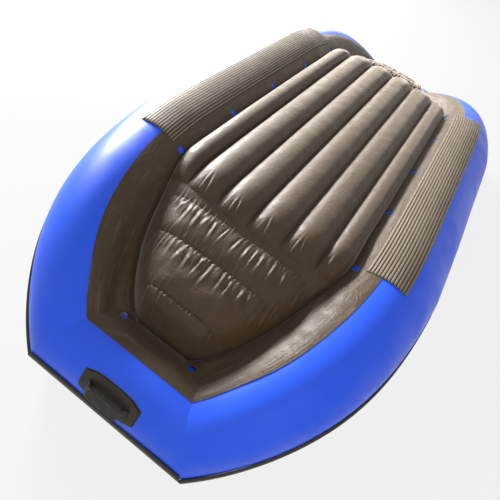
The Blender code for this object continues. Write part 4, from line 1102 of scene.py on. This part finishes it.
def grip(name, end):
    """A bar that bridges the plate, with rounded bends and edges."""
    root = BASE_LIFTS[1] - 0.002
    bend = GRIP_REACH - GRIP_BEND
    corners = np.array([(-GRIP_REACH, root), (-bend, GRIP_LIFT), (bend, GRIP_LIFT), (GRIP_REACH, root)])
    lengths = np.concatenate([[0], np.cumsum(np.linalg.norm(np.diff(corners, axis=0), axis=1))])
    spots = np.linspace(0, lengths[-1], 121)
    plain = np.stack([np.interp(spots, lengths, corners[:, axis]) for axis in (0, 1)], -1)
    soft = np.array([plain[max(0, i - 6):i + 7].mean(0) for i in range(len(plain))])
    fade = np.clip(np.minimum(np.arange(121), np.arange(121)[::-1]) / 8, 0, 1)[:, None]
    path = plain * (1 - fade) + soft * fade
    way = normal(np.gradient(path, axis=0))
    square = np.stack([-way[:, 1], way[:, 0]], -1)
    turn = np.linspace(0, 2 * math.pi, 32, endpoint=False)
    thick = (np.sign(np.sin(turn)) * np.abs(np.sin(turn)) ** 0.5 + 1) / 2 * GRIP_THICKNESS
    wide = np.sign(np.cos(turn)) * np.abs(np.cos(turn)) ** 0.35 * GRIP_WIDTH / 2
    spots = path[:, None] + square[:, None] * thick[None, :, None]
    angle = math.radians(HANDLE_ANGLE)
    lift = BOW_RADIUS + spots[..., 1]
    outward = lift * math.sin(angle) + wide * math.cos(angle)
    upward = lift * math.cos(angle) - wide * math.sin(angle)
    return swept(name, np.stack([spots[..., 0], end * (HALF_LENGTH + outward), LOW + upward], -1), RUBBER)


def merged(first, second):
    form = bmesh.new()
    form.from_mesh(first.data)
    form.from_mesh(second.data)
    form.to_mesh(first.data)
    form.free()
    bpy.data.objects.remove(second, do_unlink=True)
    return first


for end, sign in (("bow", -1), ("stern", 1)):
    patch = plate(f"{end}_handle_patch_form", sign, PATCH_BORDER, *PATCH_LIFTS)
    stands_for(patch, f"{end}_handle_patch")
    stands_for(merged(plate(f"{end}_handle_form", sign, 0, *BASE_LIFTS), grip(f"{end}_grip", sign)), f"{end}_handle")


# Holes in the side tubes' skins, for the valves on their lowest line
for side, name in ((1, "side_tube_right"), (-1, "side_tube_left")):
    low = HIGH - SIDE_RADIUS
    spots = [(side * HALF_WIDTH, end * VALVE_ALONG, low) for end in (-1, 1)]
    cut_out(skins[name], spots, [(0, 0, 1)] * 2, VALVE_HOLE, HOLE_REACH)


# Coil springs under the valves' buttons

def coil(name, low, high):
    """A coil spring that fills the box from low to high."""
    turn = np.linspace(0, 2 * math.pi * SPRING_TURNS, 32 * SPRING_TURNS + 1)
    outward = np.stack([np.cos(turn), np.sin(turn), 0 * turn], 1)
    path = outward * (high[1] - low[1] - SPRING_WIRE) / 2 + (low + high) / 2
    path[:, 2] = np.linspace(low[2] + SPRING_WIRE / 2, high[2] - SPRING_WIRE / 2, len(turn))
    across = np.cross(np.gradient(path, axis=0), outward)
    across /= np.linalg.norm(across, axis=1)[:, None]
    angle = np.linspace(0, 2 * math.pi, 12, endpoint=False)[None, :, None]
    section = np.cos(angle) * outward[:, None] + np.sin(angle) * across[:, None]
    return swept(name, path[:, None] + SPRING_WIRE / 2 * section, STEEL, 60)


for valve in ("bow_right", "bow_left", "stern_right", "stern_left", "floor"):
    low, high = (np.array(corner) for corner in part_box(f"{valve}_valve_spring"))
    spring = coil(f"{valve}_valve_coil", low, high)
    stands_for(spring, f"{valve}_valve_spring")
    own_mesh(spring)


# The CAD pieces that stay
for name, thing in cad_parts.items():
    if name.endswith(("_valve_body", "_valve_button", "_valve_cap")):
        thing.data.materials.clear()
        thing.data.materials.append(PLASTIC)


# Studio

def seen_rays(tree):
    """1 for the rays that show the background itself: the camera's, and those mirrored or let through."""
    path = add_node(tree, "ShaderNodeLightPath")
    total = path.outputs["Is Camera Ray"]
    for kind in ("Is Glossy Ray", "Is Transmission Ray"):
        total = add_node(tree, "ShaderNodeMath", {0: total, 1: path.outputs[kind]}, operation="MAXIMUM").outputs[0]
    return total


def mixed(tree, share, first, second):
    return add_node(tree, "ShaderNodeMixShader", {0: share, 1: first.outputs[0], 2: second.outputs[0]}).outputs[0]


def studio():
    scene = bpy.context.scene
    scene.view_settings.view_transform = "Standard"
    mesh = bpy.data.meshes.new("ground")
    corners = [(x * GROUND_HALF, y * GROUND_HALF, 0) for x, y in ((-1, -1), (1, -1), (1, 1), (-1, 1))]
    mesh.from_pydata(corners, [], [(0, 1, 2, 3)])
    ground = bpy.data.objects.new("ground", mesh)
    scene.collection.objects.link(ground)
    made = bpy.data.materials.new("ground")
    made.use_nodes = True
    tree = made.node_tree
    tree.nodes.clear()
    diffuse = add_node(tree, "ShaderNodeBsdfDiffuse", {"Color": (GROUND_SHADE, GROUND_SHADE, GROUND_SHADE, 1)})
    glow = add_node(tree, "ShaderNodeEmission", {"Strength": 1.0})
    share = add_node(tree, "ShaderNodeMath", {0: seen_rays(tree), 1: GROUND_GLOW}, operation="MULTIPLY").outputs[0]
    add_node(tree, "ShaderNodeOutputMaterial", {"Surface": mixed(tree, share, diffuse, glow)})
    mesh.materials.append(made)

    world = bpy.data.worlds.new("studio")
    scene.world = world
    world.use_nodes = True
    tree = world.node_tree
    way = add_node(tree, "ShaderNodeTexCoord").outputs["Generated"]
    parts = add_node(tree, "ShaderNodeSeparateXYZ", {0: way})
    inputs = {"Value": parts.outputs["X"], "From Min": -1.0, "From Max": 1.0, "To Min": 0.52, "To Max": 0.12}
    level = add_node(tree, "ShaderNodeMapRange", inputs, interpolation_type="SMOOTHSTEP").outputs["Result"]
    light = tree.nodes["Background"]
    light.inputs["Color"].default_value = (0.98, 0.98, 0.98, 1)
    tree.links.new(level, light.inputs["Strength"])
    plain = add_node(tree, "ShaderNodeBackground", {"Color": (1, 1, 1, 1), "Strength": 1.0})
    tree.links.new(mixed(tree, seen_rays(tree), light, plain), tree.nodes["World Output"].inputs["Surface"])

    for name, (place, target, size, power, colour) in LAMPS.items():
        data = bpy.data.lights.new(name, "AREA")
        data.shape = "RECTANGLE"
        data.size, data.size_y = size
        data.energy = power
        data.color = colour
        lamp = bpy.data.objects.new(name, data)
        lamp.location = place
        lamp.rotation_mode = "QUATERNION"
        lamp.rotation_quaternion = (Vector(target) - Vector(place)).to_track_quat("-Z", "Y")
        lamp.visible_glossy = name != "fill"
        scene.collection.objects.link(lamp)


def camera():
    data = bpy.data.cameras.new("camera")
    data.sensor_width = 36
    data.lens = 30.16
    data.shift_x, data.shift_y = 0.0072, -0.0161
    data.clip_start, data.clip_end = 0.05, 100
    place, roll = Vector(CAMERA_PLACE), CAMERA_ROLL
    ahead = (Vector(CAMERA_TARGET) - place).normalized()
    right_way = ahead.cross(Vector((0, 0, 1))).normalized()
    down = ahead.cross(right_way)
    across = right_way * math.cos(roll) + down * math.sin(roll)
    lower = -right_way * math.sin(roll) + down * math.cos(roll)
    turned = Matrix((across, -lower, -ahead)).transposed().to_4x4()
    made = bpy.data.objects.new("camera", data)
    made.matrix_world = Matrix.Translation(place) @ turned
    bpy.context.scene.collection.objects.link(made)
    bpy.context.scene.camera = made


studio()
camera()
